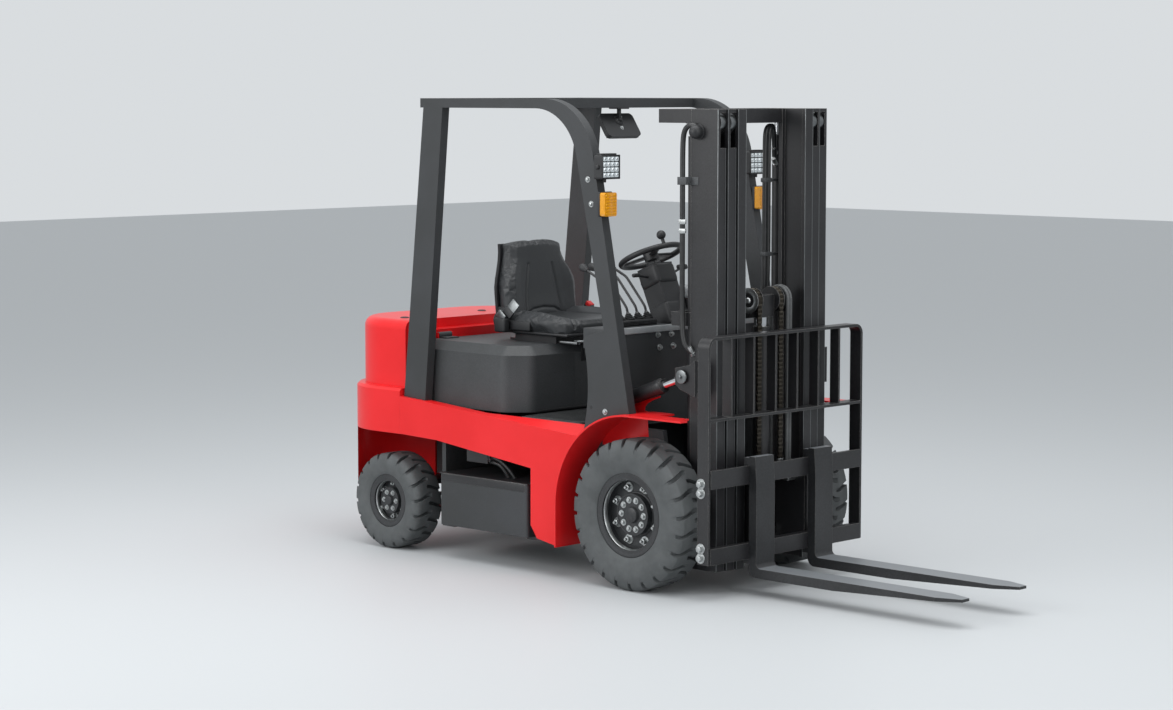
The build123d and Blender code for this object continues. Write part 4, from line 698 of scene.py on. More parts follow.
# lamps on the guard's front legs, mirrored for the left
workLamp = {"face": 0.0549, "y": (-0.547, -0.435), "z": (1.792, 1.898), "cells": 4, "border": 0.006,
            "depth": 0.006, "fins": 9}
(y0, y1), (z0, z1), edge = workLamp["y"], workLamp["z"], workLamp["border"]
x0, x1 = workLamp["face"] - 0.0005, workLamp["face"] + workLamp["depth"]
housing = [block((x0, y0, z1 - edge), (x1, y1, z1), 0.0015),
           block((x0, y0, z0), (x1, y1, z0 + edge), 0.0015),
           block((x0, y0, z0), (x1, y0 + edge, z1), 0.0015),
           block((x0, y1 - edge, z0), (x1, y1, z1), 0.0015),
           block((x0, y0 + edge, z0 + edge), (x0 + 0.0015, y1 - edge, z1 - edge), 0)]
finStep = (y1 - y0 - 0.020) / (workLamp["fins"] - 1)
for i in range(workLamp["fins"]):
    y = y0 + 0.010 + finStep * i
    housing.append(block((x0 - 0.042, y - 0.0016, z1 - 0.002), (x0 - 0.008, y + 0.0016, z1 + 0.006), 0.001))
stayKnob = turned([(0.0, 0.012), (0.008, 0.011), (0.010, 0.008), (0.010, 0.0), (0.0, 0.0)], 20)
stayBolt = hexHead(0.013, 0.014)
stamps = bothSides(housing)
for turn in (still, flip):
    stamps += [(stayKnob, turn @ along((x0 - 0.022, y0, (z0 + z1) / 2), (0, -1, 0))),
               (stayBolt, turn @ along((x0 - 0.022, -0.505, z0 + 0.0005), (0, 0, -1)))]
gather("workLampBezels", "chassis", blackAbs, stamps)
stepY, stepZ = ((high - low - 2 * edge) / workLamp["cells"] for low, high in (workLamp["y"], workLamp["z"]))
cell = block((0.0010, -stepY / 2 + 0.002, -stepZ / 2 + 0.002),
             (0.0040, stepY / 2 - 0.002, stepZ / 2 - 0.002), 0.0022, 2)
dome = turned([(0.0, 0.0062), (0.0035, 0.0056), (0.0062, 0.0040), (0.0066, 0.0030)], 14)
spots = [Vector((x0, y0 + edge + stepY * (i + 0.5), z0 + edge + stepZ * (j + 0.5)))
         for i in range(workLamp["cells"]) for j in range(workLamp["cells"])]
gather("workLampCells", "chassis", ledLens, bothSides([cell], [shift(s) for s in spots]), 50)
gather("workLampDomes", "chassis", mirrorSilver,
       bothSides([dome], [along(s, (1, 0, 0)) for s in spots]), 60)

flasher = {"x": (0.0402, 0.0802), "y": (-0.553, -0.477), "z": (1.631, 1.735), "ribs": 7}
(xa, xb), (ya, yb), (za, zb) = flasher["x"], flasher["y"], flasher["z"]
base = block((xa - 0.003, ya - 0.003, za - 0.003), (xa + 0.011, yb + 0.003, zb + 0.003), 0.004)
gather("flasherBases", "chassis", blackAbs, bothSides([base]))
ribPitch = (zb - za - 0.012) / flasher["ribs"]
ribs = []
for i in range(flasher["ribs"]):
    z = za + 0.007 + ribPitch * i
    ribs.append(block((xb - 0.0008, ya + 0.006, z), (xb + 0.0016, yb - 0.006, z + ribPitch * 0.62), 0.001))
gather("flasherRibs", "chassis", amberLens, bothSides(ribs))
tailLamp = {"x": -1.191, "y": (-0.445, -0.365), "z": (2.098, 2.137), "ribs": 6, "pitch": 0.0115,
            "rib": 0.0065}
tx, (ta, tb), (tc, td) = tailLamp["x"], tailLamp["y"], tailLamp["z"]
tailBase = block((tx + 0.016, ta - 0.004, tc - 0.003), (tx + 0.060, tb + 0.004, td + 0.0035), 0.004)
tailRibs = []
for i in range(tailLamp["ribs"]):
    y = ta + 0.006 + tailLamp["pitch"] * i
    tailRibs.append(block((tx - 0.002, y, tc + 0.005), (tx + 0.001, y + tailLamp["rib"], td - 0.005),
                          0.001))
gather("tailLampBases", "chassis", blackAbs, bothSides([tailBase]))
gather("tailLampRibs", "chassis", rubyLens, bothSides(tailRibs))

mirrorSet = {"centre": (-0.361, 0, 2.015), "tilt": 34, "size": (0.198, 0.104), "back": 0.011}
mirrorPlace = shift(mirrorSet["centre"]) @ spun(-mirrorSet["tilt"], "Y")
w, h, backX = mirrorSet["size"][0] / 2, mirrorSet["size"][1] / 2, mirrorSet["back"]
pane = block((-backX - 0.0015, -w, -h), (-backX + 0.0015, w, h), 0.0012)
gather("mirrorPane", "chassis", mirrorSilver, [(pane, mirrorPlace)])
boss = turned([(0.0, 0.020), (0.009, 0.019), (0.013, 0.014), (0.013, 0.010), (0.019, 0.008), (0.024, 0.003),
               (0.026, -0.001)], 28)
rimTop = block((-backX - 0.0022, -w - 0.007, h), (-backX + 0.002, w + 0.007, h + 0.006), 0.0015)
rimLow = block((-backX - 0.0022, -w - 0.007, -h - 0.006), (-backX + 0.002, w + 0.007, -h), 0.0015)
foot = block((-0.395, -0.034, 2.0925), (-0.327, 0.034, 2.0985), 0.003)
gather("mirrorStay", "chassis", blackAbs,
       [(boss, mirrorPlace @ along((backX, 0.0, 0.022), (1, 0, 0))), (rimTop, mirrorPlace),
        (rimLow, mirrorPlace), foot], 45)
clamp = hexHead(0.010, 0.006)
gather("mirrorBolts", "chassis", zincPlate,
       [(clamp, mirrorPlace @ along((backX - 0.0005, y, z), (1, 0, 0)))
        for y, z in ((0.0, -0.018), (0.024, 0.040))])
print("lamps and mirror made")

# steering column, wheel cap, levers
column = {"hub": (-0.158, 0, 1.425), "lean": 24}
columnPlace = shift(column["hub"]) @ spun(-column["lean"], "Y")  # Z up the column, X forward
capForm = turned([(0.0, 0.034), (0.018, 0.0325), (0.029, 0.028), (0.0335, 0.022), (0.0345, 0.012),
                  (0.0345, 0.0)], 40)
fairing = block((0.028, -0.017, -0.002), (0.120, 0.017, 0.0075), 0.004, 3)
stamps = [(capForm, columnPlace)]
stamps += [(fairing, columnPlace @ spun(a, "Z")) for a in (90, 210, 330)]
gather("steeringHubCap", "steering_wheel", blackAbs, stamps, 45)
shroud = block((-0.062, -0.068, -0.150), (0.064, 0.068, -0.050), 0.022, 5)
cuff = turned([(0.023, -0.026), (0.030, -0.030), (0.034, -0.036), (0.036, -0.052)], 36)
skirt = block((-0.060, -0.066, -0.345), (0.061, 0.066, -0.235), 0.016, 4)
stalk = tube([(0.0, 0.060, -0.095), (0.0, 0.110, -0.086), (0.0, 0.150, -0.074), (0.0, 0.178, -0.064)],
             0.0055)
paddle = block((-0.010, 0.150, -0.074), (0.010, 0.214, -0.050), 0.008, 3)
stalkRight = tube([(0.0, -0.060, -0.100), (0.0, -0.100, -0.094), (0.0, -0.128, -0.088)], 0.0055)
paddleRight = block((-0.009, -0.160, -0.096), (0.009, -0.116, -0.078), 0.007, 3)
keySwitch = turned([(0.0, 0.010), (0.006, 0.010), (0.012, 0.008), (0.014, 0.0)], 24)
stamps = [(form, columnPlace) for form in (shroud, cuff, skirt, stalk, paddle, stalkRight, paddleRight)]
stamps.append((keySwitch, columnPlace @ along((-0.0615, -0.036, -0.110), (-1, 0, 0))))
gather("columnShroud", "chassis", blackAbs, stamps, 40)

levers = {"count": 4, "pitch": 0.06, "y": -0.150, "foot": (-0.031, 1.130), "knee": (-0.058, 1.212),
          "bend": (-0.176, 1.338), "head": (-0.272, 1.380)}
rods, knobs, boots = [], [], []
pear = turned([(0.0, 0.024), (0.010, 0.0225), (0.0165, 0.015), (0.0180, 0.006), (0.0155, -0.006),
               (0.0105, -0.018), (0.0085, -0.026), (0.0, -0.027)], 24)
bellows = turned([(0.026, 0.0), (0.026, 0.004), (0.021, 0.007), (0.023, 0.011), (0.017, 0.015),
                  (0.019, 0.019), (0.013, 0.023), (0.0145, 0.027), (0.009, 0.031), (0.007, 0.037),
                  (0.0, 0.038)], 24)
for i in range(levers["count"]):
    y = levers["y"] - i * levers["pitch"]
    foot = Vector((levers["foot"][0], y, levers["foot"][1]))
    head = Vector((levers["head"][0], y + 0.006, levers["head"][1]))
    knee = Vector((levers["knee"][0], y + 0.001, levers["knee"][1]))
    bend = Vector((levers["bend"][0], y + 0.004, levers["bend"][1]))
    way = (head - bend).normalized()
    low, high = foot + 0.8 * (knee - foot), knee + 0.25 * (bend - knee)
    early, late = knee + 0.8 * (bend - knee), bend + 0.25 * (head - bend)
    rods.append(tube([foot, foot + 0.4 * (knee - foot), low, knee, high, early, bend, late,
                      head - 0.01 * way], 0.0058))
    knobs.append((pear, along(head, way)))
    boots.append((bellows, along(foot + 0.3 * (knee - foot), knee - foot)))
gather("leverRods", "chassis", mastEnamel, rods, 40, ["control_levers"])
gather("leverKnobs", "chassis", blackAbs, knobs, 50)
gather("leverBoots", "chassis", hoseRubber, boots, 50)
print("controls made")

# fasteners: cowl, guard legs, backrest posts, tilt pins
boltSet = {"cowl": ((-0.1886, 1.0916), (-0.0998, 1.0902), (-0.176, 1.0338), (-0.0863, 1.0352)),
           "cowlFace": 0.0588, "leg": ((-0.0455, 1.7892), (-0.0241, 1.6821), (0.060, 0.7725)),
           "legFace": 0.5298, "post": (0.508, 0.467, 0.2285, 0.1875), "postX": 0.617, "postFace": 0.5198}
cowlBolt, postBolt, legBolt = hexHead(0.016, 0.011), hexHead(0.025, 0.016), hexHead(0.015, 0.008)
stamps = bothSides([cowlBolt], [along((boltSet["cowlFace"], y, z), (1, 0, 0), 0.4)
                                for y, z in boltSet["cowl"]])
stamps += bothSides([legBolt], [along((x, -boltSet["legFace"], z), (0, -1, 0), 0.2)
                                for x, z in boltSet["leg"]])
gather("chassisBolts", "chassis", zincPlate, stamps)
stamps = bothSides([postBolt], [along((boltSet["postX"], -boltSet["postFace"], z), (0, -1, 0), 0.3)
                                for z in boltSet["post"]])
gather("postBolts", "carriage", zincPlate, stamps)
tiltSet = {"pin": (0.444, 0.4558, 0.950), "rearPin": (-0.056, 0.4388, 0.772),
           "gland": (0.285, 0.412, 0.8935), "way": (0.5, 0, 0.178), "keeper": 0.0055, "keeperTurn": 50}
pinCap = turned([(0.0, 0.007), (0.018, 0.007), (0.021, 0.005), (0.022, 0.0)], 32)
keeper = turned([(0.0, 0.0055), (0.026, 0.0055), (0.0295, 0.004), (0.0305, 0.0)], 40)
stamps = []
for side in (-1, 1):
    spot = along(onSide(tiltSet["pin"], side), (0, side, 0), math.radians(-tiltSet["keeperTurn"] * side))
    stamps += [(keeper, spot), (hexHead(0.013, 0.007), spot @ shift((0, 0, tiltSet["keeper"])))]
gather("tiltPinKeepers", "mast_outer", rollerSteel, stamps)
stamps = [(pinCap, along(onSide(tiltSet["rearPin"], side), (0, side, 0))) for side in (-1, 1)]
gather("tiltRearPins", "chassis", zincPlate, stamps)
tiltWay = Vector(tiltSet["way"]).normalized()
gland = turned([(0.0185, 0.022), (0.027, 0.021), (0.030, 0.017), (0.0335, 0.012), (0.0350, 0.0),
                (0.0350, -0.020), (0.0332, -0.022)], 36)
stamps = [(gland, along(onSide(tiltSet["gland"], side), tiltWay)) for side in (-1, 1)]
gather("tiltGlands", "tilt_barrels", mastEnamel, stamps)
print("fasteners made")

# lift chains: leaf links from the carriage over the sheaves to the inner mast
chain = {"y": 0.072, "links": 39, "low": 0.521, "sheaveX": 0.5075, "sheaveZ": 1.262, "radius": 0.048,
         "plate": (0.0115, 0.0034), "even": (-0.0115, -0.0038, 0.0038, 0.0115),
         "odd": (-0.0077, 0.0, 0.0077), "pin": 0.0032, "half": 0.0138, "lift": 0.68, "frontLow": 0.493,
         "frontLinks": 41, "shaftFace": 0.094, "ringFace": 0.0909, "sleeve": 0.0243, "sleeveFrom": 0.585,
         "sleeveLong": 0.60}
span = chain["sheaveZ"] - chain["low"]
linkPitch = span / chain["links"]
depth, thick = chain["plate"]
linkPlate = block((-depth / 2, -thick / 2, -linkPitch / 2 - 0.0045),
                  (depth / 2, thick / 2, linkPitch / 2 + 0.0045), 0.003, 1)
linkPin = turned([(0.0, chain["half"]), (chain["pin"], chain["half"]), (chain["pin"], -chain["half"]),
                  (0.0, -chain["half"])], 8)


def linkStamps(places):
    stamps = []
    for k, spot in enumerate(places):
        lanes = chain["odd"] if k % 2 else chain["even"]
        stamps += [(linkPlate, spot @ shift((0, lane, 0))) for lane in lanes]
        stamps.append((linkPin, spot @ along((0, 0, -linkPitch / 2), (0, 1, 0))))
    return stamps


def strandPlaces(x, low, count):
    pitch = (chain["sheaveZ"] - low) / count
    return [shift((x, side * chain["y"], low + pitch * (k + 0.5))) for side in (-1, 1)
            for k in range(count)]


def arcPlaces(radius, count, ys):
    spots = []
    for y in ys:
        for k in range(count):
            turn = math.pi * (k + 0.5) / count
            spots.append(shift((chain["sheaveX"], y, chain["sheaveZ"])) @ Matrix.Rotation(-turn, 4, "Y")
                         @ shift((radius, 0, 0)))
    return spots


front = gather("chainFrontRuns", "free_lift_head", chainSteel,
               linkStamps(strandPlaces(chain["sheaveX"] + chain["radius"], chain["frontLow"],
                                       chain["frontLinks"])), 35, ["lift_chains"])
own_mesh(front)
rear = joined("chainRearRuns", chainSteel, linkStamps(strandPlaces(chain["sheaveX"] - chain["radius"],
                                                                   chain["low"], chain["links"])))
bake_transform(rear)
gather("chainOverSheaves", "free_lift_head", chainSteel,
       linkStamps(arcPlaces(chain["radius"], 8, (-chain["y"], chain["y"]))))
anchorRod = turned([(0.0, 0.040), (0.0055, 0.039), (0.0068, 0.034), (0.0068, 0.0)], 14)
clevis = block((-0.0072, -0.0160, 0.014), (0.0072, 0.0160, 0.038), 0.003)
anchorNut = hexHead(0.021, 0.012)
for name, body, x in (("chainAnchorsFront", "carriage", chain["radius"]),
                      ("chainAnchorsRear", "mast_inner", -chain["radius"])):
    stamps = []
    for side in (-1, 1):
        spot = shift((chain["sheaveX"] + x, side * chain["y"], chain["low"] - 0.002))
        stamps += [(anchorRod, spot), (clevis, spot), (anchorNut, spot)]
    gather(name, body, zincPlate, stamps)
shaftEnd = turned([(0.0, 0.006), (0.010, 0.006), (0.0135, 0.003), (0.0145, 0.0)], 24)
sheaveRing = turned([(0.030, 0.0), (0.033, 0.0018), (0.047, 0.0018), (0.0555, 0.0006), (0.0562, -0.002)],
                    40)
stamps = []
for side in (-1, 1):
    stamps.append((shaftEnd, along((chain["sheaveX"], side * chain["shaftFace"], chain["sheaveZ"]),
                                   (0, side, 0))))
    stamps.append((sheaveRing, along((chain["sheaveX"], side * chain["ringFace"], chain["sheaveZ"]),
                                     (0, side, 0))))
gather("sheaveFaces", "free_lift_head", zincPlate, stamps)
headSleeve = turned([(chain["sleeve"], 0.0), (chain["sleeve"], chain["sleeveLong"])], 28)
gather("freeLiftRodSleeve", "free_lift_head", hardChrome,
       [(headSleeve, shift((chain["sheaveX"], 0, chain["sleeveFrom"])))])
nodes["free_lift_head"].data.materials[0] = mastEnamel
print("chains made")

# hose pair over its own pulley beside the left sheave
hose = {"ys": (0.112, 0.130), "radius": 0.0086, "pulley": 0.050, "seat": 0.0035, "middle": 0.121,
        "low": 0.466, "rearLow": 0.215, "fitting": 0.500, "rearFitting": 0.205, "bar": (0.455, 0.493),
        "rearBar": (0.165, 0.198)}
pulleyForm = turned([(0.0, 0.019), (0.016, 0.019), (0.018, 0.016), (0.047, 0.016), (0.056, 0.017),
                     (0.057, 0.013), (0.0465, 0.008), (0.0465, 0.002), (0.051, 0.0), (0.0465, -0.002),
                     (0.0465, -0.008), (0.057, -0.013), (0.056, -0.017), (0.0, -0.017)], 44)
gather("hosePulley", "free_lift_head", blackAbs,
       [(pulleyForm, along((chain["sheaveX"], hose["middle"], chain["sheaveZ"]), (0, 1, 0)))], 40)
reach = hose["pulley"] + hose["seat"]
overPoints = [(reach * math.cos(a), 0, reach * math.sin(a)) for a in [math.pi * i / 10 for i in range(11)]]
gather("hoseOverPulley", "free_lift_head", greyHose,
       [(tube(overPoints, hose["radius"]), shift((chain["sheaveX"], y, chain["sheaveZ"])))
        for y in hose["ys"]], 60)


def straightHose(x, low):
    top = chain["sheaveZ"]
    steps = [low + (top - low) * i / 12 for i in range(13)]
    return [tube([(x, y, z) for z in steps], hose["radius"], 3, 2) for y in hose["ys"]]


front = gather("hoseFrontRuns", "free_lift_head", greyHose,
               straightHose(chain["sheaveX"] + reach, hose["low"]), 60)
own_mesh(front)
rear = joined("hoseRearRuns", greyHose, straightHose(chain["sheaveX"] - reach, hose["rearLow"]), 60)
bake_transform(rear)
crimp = turned([(0.0, 0.034), (0.0092, 0.034), (0.0106, 0.030), (0.0106, 0.004), (0.0125, 0.003),
                (0.0125, -0.010), (0.0, -0.010)], 18)
frontX, rearX = chain["sheaveX"] + reach, chain["sheaveX"] - reach
stamps = [(crimp, shift((frontX, y, hose["fitting"]))) for y in hose["ys"]]
z0, z1 = hose["bar"]
stamps.append(block((frontX - 0.012, 0.100, z0), (frontX + 0.018, 0.1505, z1), 0.003))
gather("hoseFittingsFront", "carriage", zincPlate, stamps)
stamps = [(crimp, shift((rearX, y, hose["rearFitting"]))) for y in hose["ys"]]
z0, z1 = hose["rearBar"]
stamps.append(block((0.4455, 0.099, z0), (rearX + 0.010, 0.143, z1), 0.003))
gather("hoseFittingsRear", "mast_inner", zincPlate, stamps)

# fixed hoses on the outer mast: the right-hand run over its small pulley, a pair to the left cylinder
mastHose = {"radius": 0.0115, "pulleyAt": (0.4595, -0.385, 2.001), "couplings": (1.614, 1.574),
            "strap": (1.773, 1.807), "clips": (1.45, 1.78)}
route = [(0.428, -0.366, 1.045), (0.418, -0.378, 1.060), (0.395, -0.384, 1.085), (0.3860, -0.385, 1.14),
         (0.3835, -0.385, 1.26), (0.3835, -0.385, 1.48), (0.3835, -0.385, 1.80), (0.3840, -0.385, 1.94),
         (0.390, -0.385, 2.000), (0.414, -0.385, 2.028), (0.445, -0.384, 2.030), (0.463, -0.380, 2.018),
         (0.466, -0.366, 2.010)]
pair = [[(0.352, 0.166 + 0.024 * i, 1.215), (0.372, 0.166 + 0.024 * i, 1.26),
         (0.378, 0.166 + 0.024 * i, 1.40), (0.378, 0.166 + 0.024 * i, 1.70),
         (0.378, 0.166 + 0.024 * i, 1.94), (0.378, 0.170 + 0.024 * i, 2.000),
         (0.378, 0.190 + 0.017 * i, 2.022), (0.378, 0.218 + 0.004 * i, 2.016),
         (0.376, 0.232, 1.975 - 0.03 * i), (0.372, 0.236, 1.93 - 0.05 * i),
         (0.366, 0.250, 1.905 - 0.05 * i)] for i in range(2)]
gather("mastHoses", "mast_outer", hoseRubber,
       [tube(points, mastHose["radius"]) for points in [route] + pair], 60)
smallPulley = turned([(0.0, 0.030), (0.010, 0.0285), (0.019, 0.024), (0.026, 0.016), (0.0295, 0.006),
                      (0.030, -0.004), (0.030, -0.014), (0.034, -0.015), (0.034, -0.021), (0.0, -0.022)],
                     40)
coupling = turned([(0.0112, -0.011), (0.0165, -0.010), (0.0172, -0.008), (0.0172, 0.008), (0.0165, 0.010),
                   (0.0112, 0.011)], 6)
gather("mastHosePulley", "mast_outer", blackAbs,
       [(smallPulley, along(mastHose["pulleyAt"], (0, -1, 0)))], 40)
stamps = [(crimp, along((0.428, -0.366, 1.045), (-0.1, -0.5, 0.86)))]
stamps += [(coupling, shift((0.3835, -0.385, z))) for z in mastHose["couplings"]]
stamps += [(crimp, along((0.366, 0.250, 1.905 - 0.05 * i), (0.3, -0.7, 0.55))) for i in range(2)]
gather("mastHoseFittings", "mast_outer", zincPlate, stamps)
z0, z1 = mastHose["strap"]  # folded over the right-hand hose
stamps = [block((0.3655, -0.3995, z0), (0.4000, -0.3968, z1), 0.0012),
          block((0.3975, -0.3995, z0), (0.4165, -0.3640, z1), 0.0012),
          block((0.4155, -0.3668, z0), (0.4580, -0.3638, z1), 0.0012)]
stamps.append(block((0.3130, 0.150, 1.180), (0.352, 0.206, 1.222), 0.004))
stamps += [block((0.362, 0.154, z - 0.010), (0.392, 0.202, z + 0.010), 0.004) for z in mastHose["clips"]]
stamps += [block((0.3815, 0.198, z - 0.006), (0.3885, 0.316, z + 0.006), 0.002) for z in mastHose["clips"]]
gather("mastHoseClamps", "mast_outer", greyPlate, stamps)

# rollers that show through the notches at the rails' tops
rollerSet = {"z": 2.041, "radius": 0.040, "outer": (0.5285, 0.3105), "mid": (0.5365, 0.2535)}
band = turned([(rollerSet["radius"] - 0.006, 0.0335), (rollerSet["radius"] - 0.001, 0.0325),
               (rollerSet["radius"], 0.0300), (rollerSet["radius"], 0.002),
               (rollerSet["radius"] - 0.001, -0.0005), (rollerSet["radius"] - 0.006, -0.0012)], 56)
for name, body, key in (("outerMastRollers", "mast_outer", "outer"), ("midMastRollers", "mast_mid", "mid")):
    x, y = rollerSet[key]
    spot = along((x, y, rollerSet["z"]), (0, 1, 0))
    gather(name, body, rollerSteel, [(band, spot), (band, flip @ spot)])
# painted highlights as bright steel strips along the rails' edges: front face, outer and inner edge of the
# flange, top of the inner edge
rails = {"mast_outer": (0.568, 0.364, 0.312, 1.931), "mast_mid": (0.576, 0.307, 0.255, 1.931),
         "mast_inner": (0.584, 0.250, 0.198, 2.096)}
railEdgeHighlight = {"low": 0.102, "high": 2.096, "deep": 0.0025, "proud": 0.0005, "wide": 0.0028, "over": 0.0004,
            "round": 0.0008}
for body, (face, outer, inner, top) in rails.items():
    xa, xb = face - railEdgeHighlight["deep"], face + railEdgeHighlight["proud"]
    edges = [block((xa, outer - railEdgeHighlight["wide"], railEdgeHighlight["low"]),
                   (xb, outer + railEdgeHighlight["over"], railEdgeHighlight["high"]), railEdgeHighlight["round"]),
             block((xa, inner - railEdgeHighlight["over"], railEdgeHighlight["low"]), (xb, inner + railEdgeHighlight["wide"], top),
                   railEdgeHighlight["round"])]
    name = body.replace("mast_", "") + "RailEdgeHighlights"
    gather(name, body, rollerSteel, bothSides(edges))
print("hoses and rollers made")

# cab and battery bay: mats, pedal pads, cowl trim, battery lid and plugs
cab = {"mats": ((-0.505, -0.150, 0.470), (-0.150, 0.040, 0.340)), "floor": 0.6998, "pitch": 0.022,
       "thick": 0.0035, "pedals": ((-0.06, 0.045), (-0.20, 0.035)), "pedalAt": (-0.038, 0.778),
       "pedalTilt": -50, "step": (-0.940, -0.417, 0.335, 0.552, 0.3835)}
stamps = []
for start, end, half in cab["mats"]:
    top = cab["floor"] + cab["thick"]
    stamps.append(block((start, -half, cab["floor"]), (end, half, top), 0.0015))
    rib = block((-0.004, -half + 0.012, -0.0005), (0.004, half - 0.012, 0.0022), 0.0012)
    count = int((end - start - 0.02) / cab["pitch"])
    stamps += [(rib, shift((start + 0.016 + cab["pitch"] * i, 0, top))) for i in range(count)]
for y, half in cab["pedals"]:
    tread = shift((cab["pedalAt"][0], y, cab["pedalAt"][1])) @ spun(cab["pedalTilt"], "Y")
    stamps.append((block((-0.057, -half + 0.003, 0.0035), (0.057, half - 0.003, 0.009), 0.0025), tread))
    stamps += [(block((-0.047 + 0.015 * i, -half + 0.008, 0.0085),
                      (-0.040 + 0.015 * i, half - 0.008, 0.0115), 0.0012), tread) for i in range(7)]
x0, x1, y0, y1, z0 = cab["step"]
stamps.append(block((x0, y0, z0), (x1, y1, z0 + 0.003), 0.0012))
stamps += [block((x0 + 0.010, y0 + 0.014 + 0.024 * i, z0 + 0.0025),
                 (x1 - 0.010, y0 + 0.026 + 0.024 * i, z0 + 0.0055), 0.0014) for i in range(8)]
gather("cabRubberMats", "chassis", matRubber, stamps)
trim = block((0.0585, -0.462, 1.104), (0.0662, 0.462, 1.1335), 0.0038, 3)
gather("cowlTrim", "chassis", greyAbs, [trim])

bay = {"lid": (-1.0005, -0.4175, -0.5415, 0.2615, 0.3990, 0.4040), "lip": 0.034,
       "bracket": ((-0.870, -0.4895, 0.462), (-0.730, -0.4830, 0.575)), "plugs": (-0.865, -0.795),
       "lead": 0.0095}
x0, x1, y0, y1, z0, z1 = bay["lid"]
lift = tube([(0, -0.045, 0), (0, -0.045, 0.030), (0, -0.030, 0.040), (0, 0.030, 0.040), (0, 0.045, 0.030),
             (0, 0.045, 0)], 0.006)
stamps = [block((x0, y0, z0), (x1, y1, z1), 0.002),
          block((x0 + 0.014, y0, z0 - bay["lip"]), (x1 - 0.014, y0 + 0.003, z0 + 0.002), 0.0012)]
stamps += [(lift, shift((x, -0.14, z1 - 0.002))) for x in (x0 + 0.05, x1 - 0.05)]
stamps.append(block(*bay["bracket"], 0.0025))
gather("batteryLid", "chassis", mastEnamel, stamps)
plug = block((0, -0.4835, 0.468), (0.060, -0.440, 0.510), 0.005, 3)
grip = block((0.008, -0.440, 0.478), (0.052, -0.432, 0.500), 0.003)
stamps = [(form, shift((x, 0, 0))) for x in bay["plugs"] for form in (plug, grip)]
gather("batteryPlugs", "chassis", greyAbs, stamps)
lead = [(-0.737, -0.462, 0.490), (-0.700, -0.462, 0.489), (-0.660, -0.455, 0.470), (-0.615, -0.446, 0.430),
        (-0.598, -0.440, 0.402)]
lowLead = [(x, y + 0.002, z - 0.022) for x, y, z in lead[:3]] + [(-0.640, -0.440, 0.402)]
gather("batteryLeads", "chassis", hoseRubber,
       [tube(points, bay["lead"]) for points in (lead, lowLead)], 60)

# hood latch and edge seal ride the hood
seal = block((-0.5262, -0.385, 0.7075), (-0.5225, 0.385, 0.7175), 0.0015)
pull = block((-0.5270, -0.062, 0.940), (-0.5170, 0.062, 0.975), 0.0045, 3)
plate = block((-0.5265, -0.080, 0.925), (-0.5228, 0.080, 0.990), 0.0016)
gather("hoodLatch", "hood", blackAbs, [seal, pull, plate])

# counterweight: plugs over the lifting eyes, and the tow pin with its loop handle
tail = {"plugs": ((-1.431, 0.144), (-1.393, 0.40), (-1.393, -0.40)), "top": 1.0945,
        "pin": (-1.726, 0, 0.300)}
eyePlug = turned([(0.0, 0.006), (0.012, 0.0058), (0.018, 0.0045), (0.021, 0.002), (0.022, 0.0)], 28)
gather("eyePlugs", "chassis", blackAbs,
       [(eyePlug, shift((x, y, tail["top"]))) for x, y in tail["plugs"]], 50)
shaft = turned([(0.0, 0.0), (0.011, 0.001), (0.0155, 0.008), (0.0155, 0.190), (0.024, 0.192),
                (0.025, 0.196), (0.025, 0.206), (0.023, 0.210), (0.0, 0.211)], 28)
loop = tube([(0, -0.020, 0.205), (0, -0.022, 0.235), (0, -0.034, 0.262), (0, -0.024, 0.288),
             (0, 0.024, 0.288), (0, 0.034, 0.262), (0, 0.022, 0.235), (0, 0.020, 0.205)], 0.0055)
gather("towPin", "chassis", zincPlate, [(form, shift(tail["pin"])) for form in (shaft, loop)])
print("cab, bay and tail pieces made")


# body sheets: wheel-arch inner walls with the tilt bracket, rolled beam tops, cowl end panels
def plateFrom(outline, y0, y1, round=0.0015):
    # (x, z) outline in the side view, thickened between y0 and y1
    bm = bmesh.new()
    face = bm.faces.new([bm.verts.new((x, y0, z)) for x, z in outline])
    grown = bmesh.ops.extrude_face_region(bm, geom=[face])
    bmesh.ops.translate(bm, vec=(0, y1 - y0, 0),
                        verts=[v for v in grown["geom"] if isinstance(v, bmesh.types.BMVert)])
    bmesh.ops.recalc_face_normals(bm, faces=bm.faces[:])
    bmesh.ops.bevel(bm, geom=bm.edges[:], offset=round, offset_type="OFFSET", affect="EDGES", segments=2,
                    profile=0.5, material=-1, clamp_overlap=True)
    return asMesh(bm)


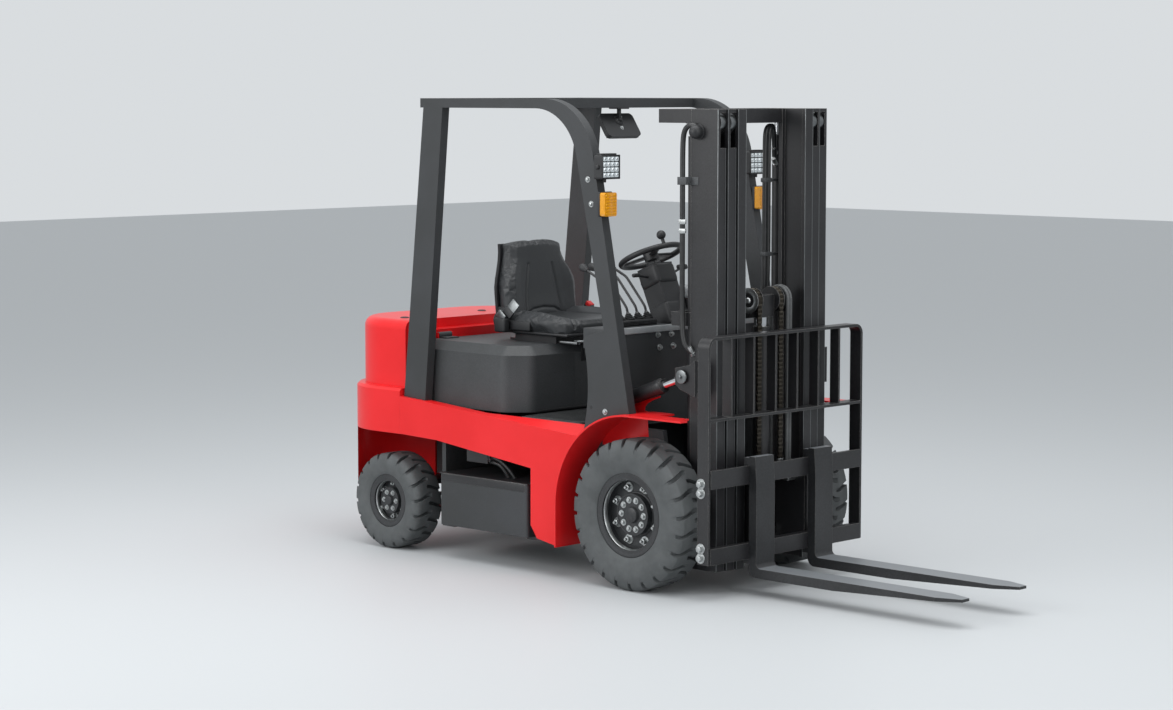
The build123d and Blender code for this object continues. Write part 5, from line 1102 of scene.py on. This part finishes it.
sheet = {"wallY": (-0.3796, -0.3765), "beam": (-1.180, -0.086, 0.740, -1.266, -0.07395),
         "beamY": (-0.5485, -0.4895), "deck": 0.700, "steps": 24}
wall = [(-0.100, 0.600), (0.183, 0.600), (0.181, 0.660), (0.173, 0.7735), (0.158, 0.7735), (0.160, 0.790),
        (0.174, 0.806), (0.207, 0.824), (0.250, 0.838), (0.256, 0.848), (0.092, 0.802), (-0.003, 0.774),
        (-0.050, 0.700), (-0.100, 0.640)]
wallForm = plateFrom(wall, *sheet["wallY"])
start, end, rearZ, rearX, fall = sheet["beam"]
bm = bmesh.new()
rows = []
for i in range(sheet["steps"] + 1):
    share = i / sheet["steps"]
    x = start + (end - start) * share
    outerZ = rearZ + (x - rearX) * fall
    innerX, innerZ = x + 0.056 * max(0.0, share - 0.75) / 0.25, max(outerZ, sheet["deck"])
    y0, y1 = sheet["beamY"]
    # the outer corner is rolled over a 6 mm radius
    rows.append([bm.verts.new(p) for p in ((x, y0 - 0.0015, outerZ - 0.008),
                                           (x, y0 - 0.0010, outerZ - 0.0035),
                                           (x, y0 + 0.0010, outerZ - 0.0008),
                                           (x, y0 + 0.0045, outerZ + 0.0008), (innerX, y1, innerZ),
                                           (innerX, y1, innerZ - 0.006), (x, y0 + 0.004, outerZ - 0.010))])
sides = len(rows[0])
for rowA, rowB in zip(rows, rows[1:]):
    for k in range(sides):
        bm.faces.new((rowA[k], rowA[(k + 1) % sides], rowB[(k + 1) % sides], rowB[k]))
bm.faces.new(rows[0])
bm.faces.new(rows[-1])
beamForm = asMesh(bm)
gather("bodySheets", "chassis", redPowder, bothSides([wallForm, beamForm]), 40)
cowlEnd = block((-0.1150, -0.4862, 1.080), (0.0580, -0.4820, 1.1288), 0.0015)
gather("cowlEnds", "chassis", blackPowder, bothSides([cowlEnd]))
legPlug = turned([(0.0, 0.0012), (0.0075, 0.0010), (0.0085, 0.0)], 20)
gather("legPlugs", "chassis", blackAbs,
       bothSides([legPlug], [along((-0.025, -boltSet["legFace"], 0.786), (0, -1, 0))]))

# instrument pod left of the column, and the slotted gate that the levers come up through
pod = {"low": (-0.108, 0.080, 1.1295), "high": (0.042, 0.270, 1.238), "lid": 1.290}
(x0, y0, z0), (x1, y1, z1) = pod["low"], pod["high"]
gather("instrumentPod", "chassis", blackAbs, [block((x0, y0, z0), (x1, y1, z1), 0.010, 3)])
gather("instrumentLid", "chassis", greyAbs,
       [block((x0 - 0.004, y0 - 0.004, z1 - 0.004), (x1 + 0.002, y1 + 0.004, pod["lid"]), 0.016, 4)])
gate = [block((-0.066, -0.362, 1.1295), (-0.006, -0.118, 1.158), 0.007, 3)]
gate += [block((-0.0068, -0.352 + 0.0605 * i, 1.135 + 0.0062 * j),
               (-0.0038, -0.306 + 0.0605 * i, 1.1382 + 0.0062 * j), 0.001) for i in range(4)
         for j in range(3)]
gather("leverGate", "chassis", blackAbs, gate)
print("body sheets made")
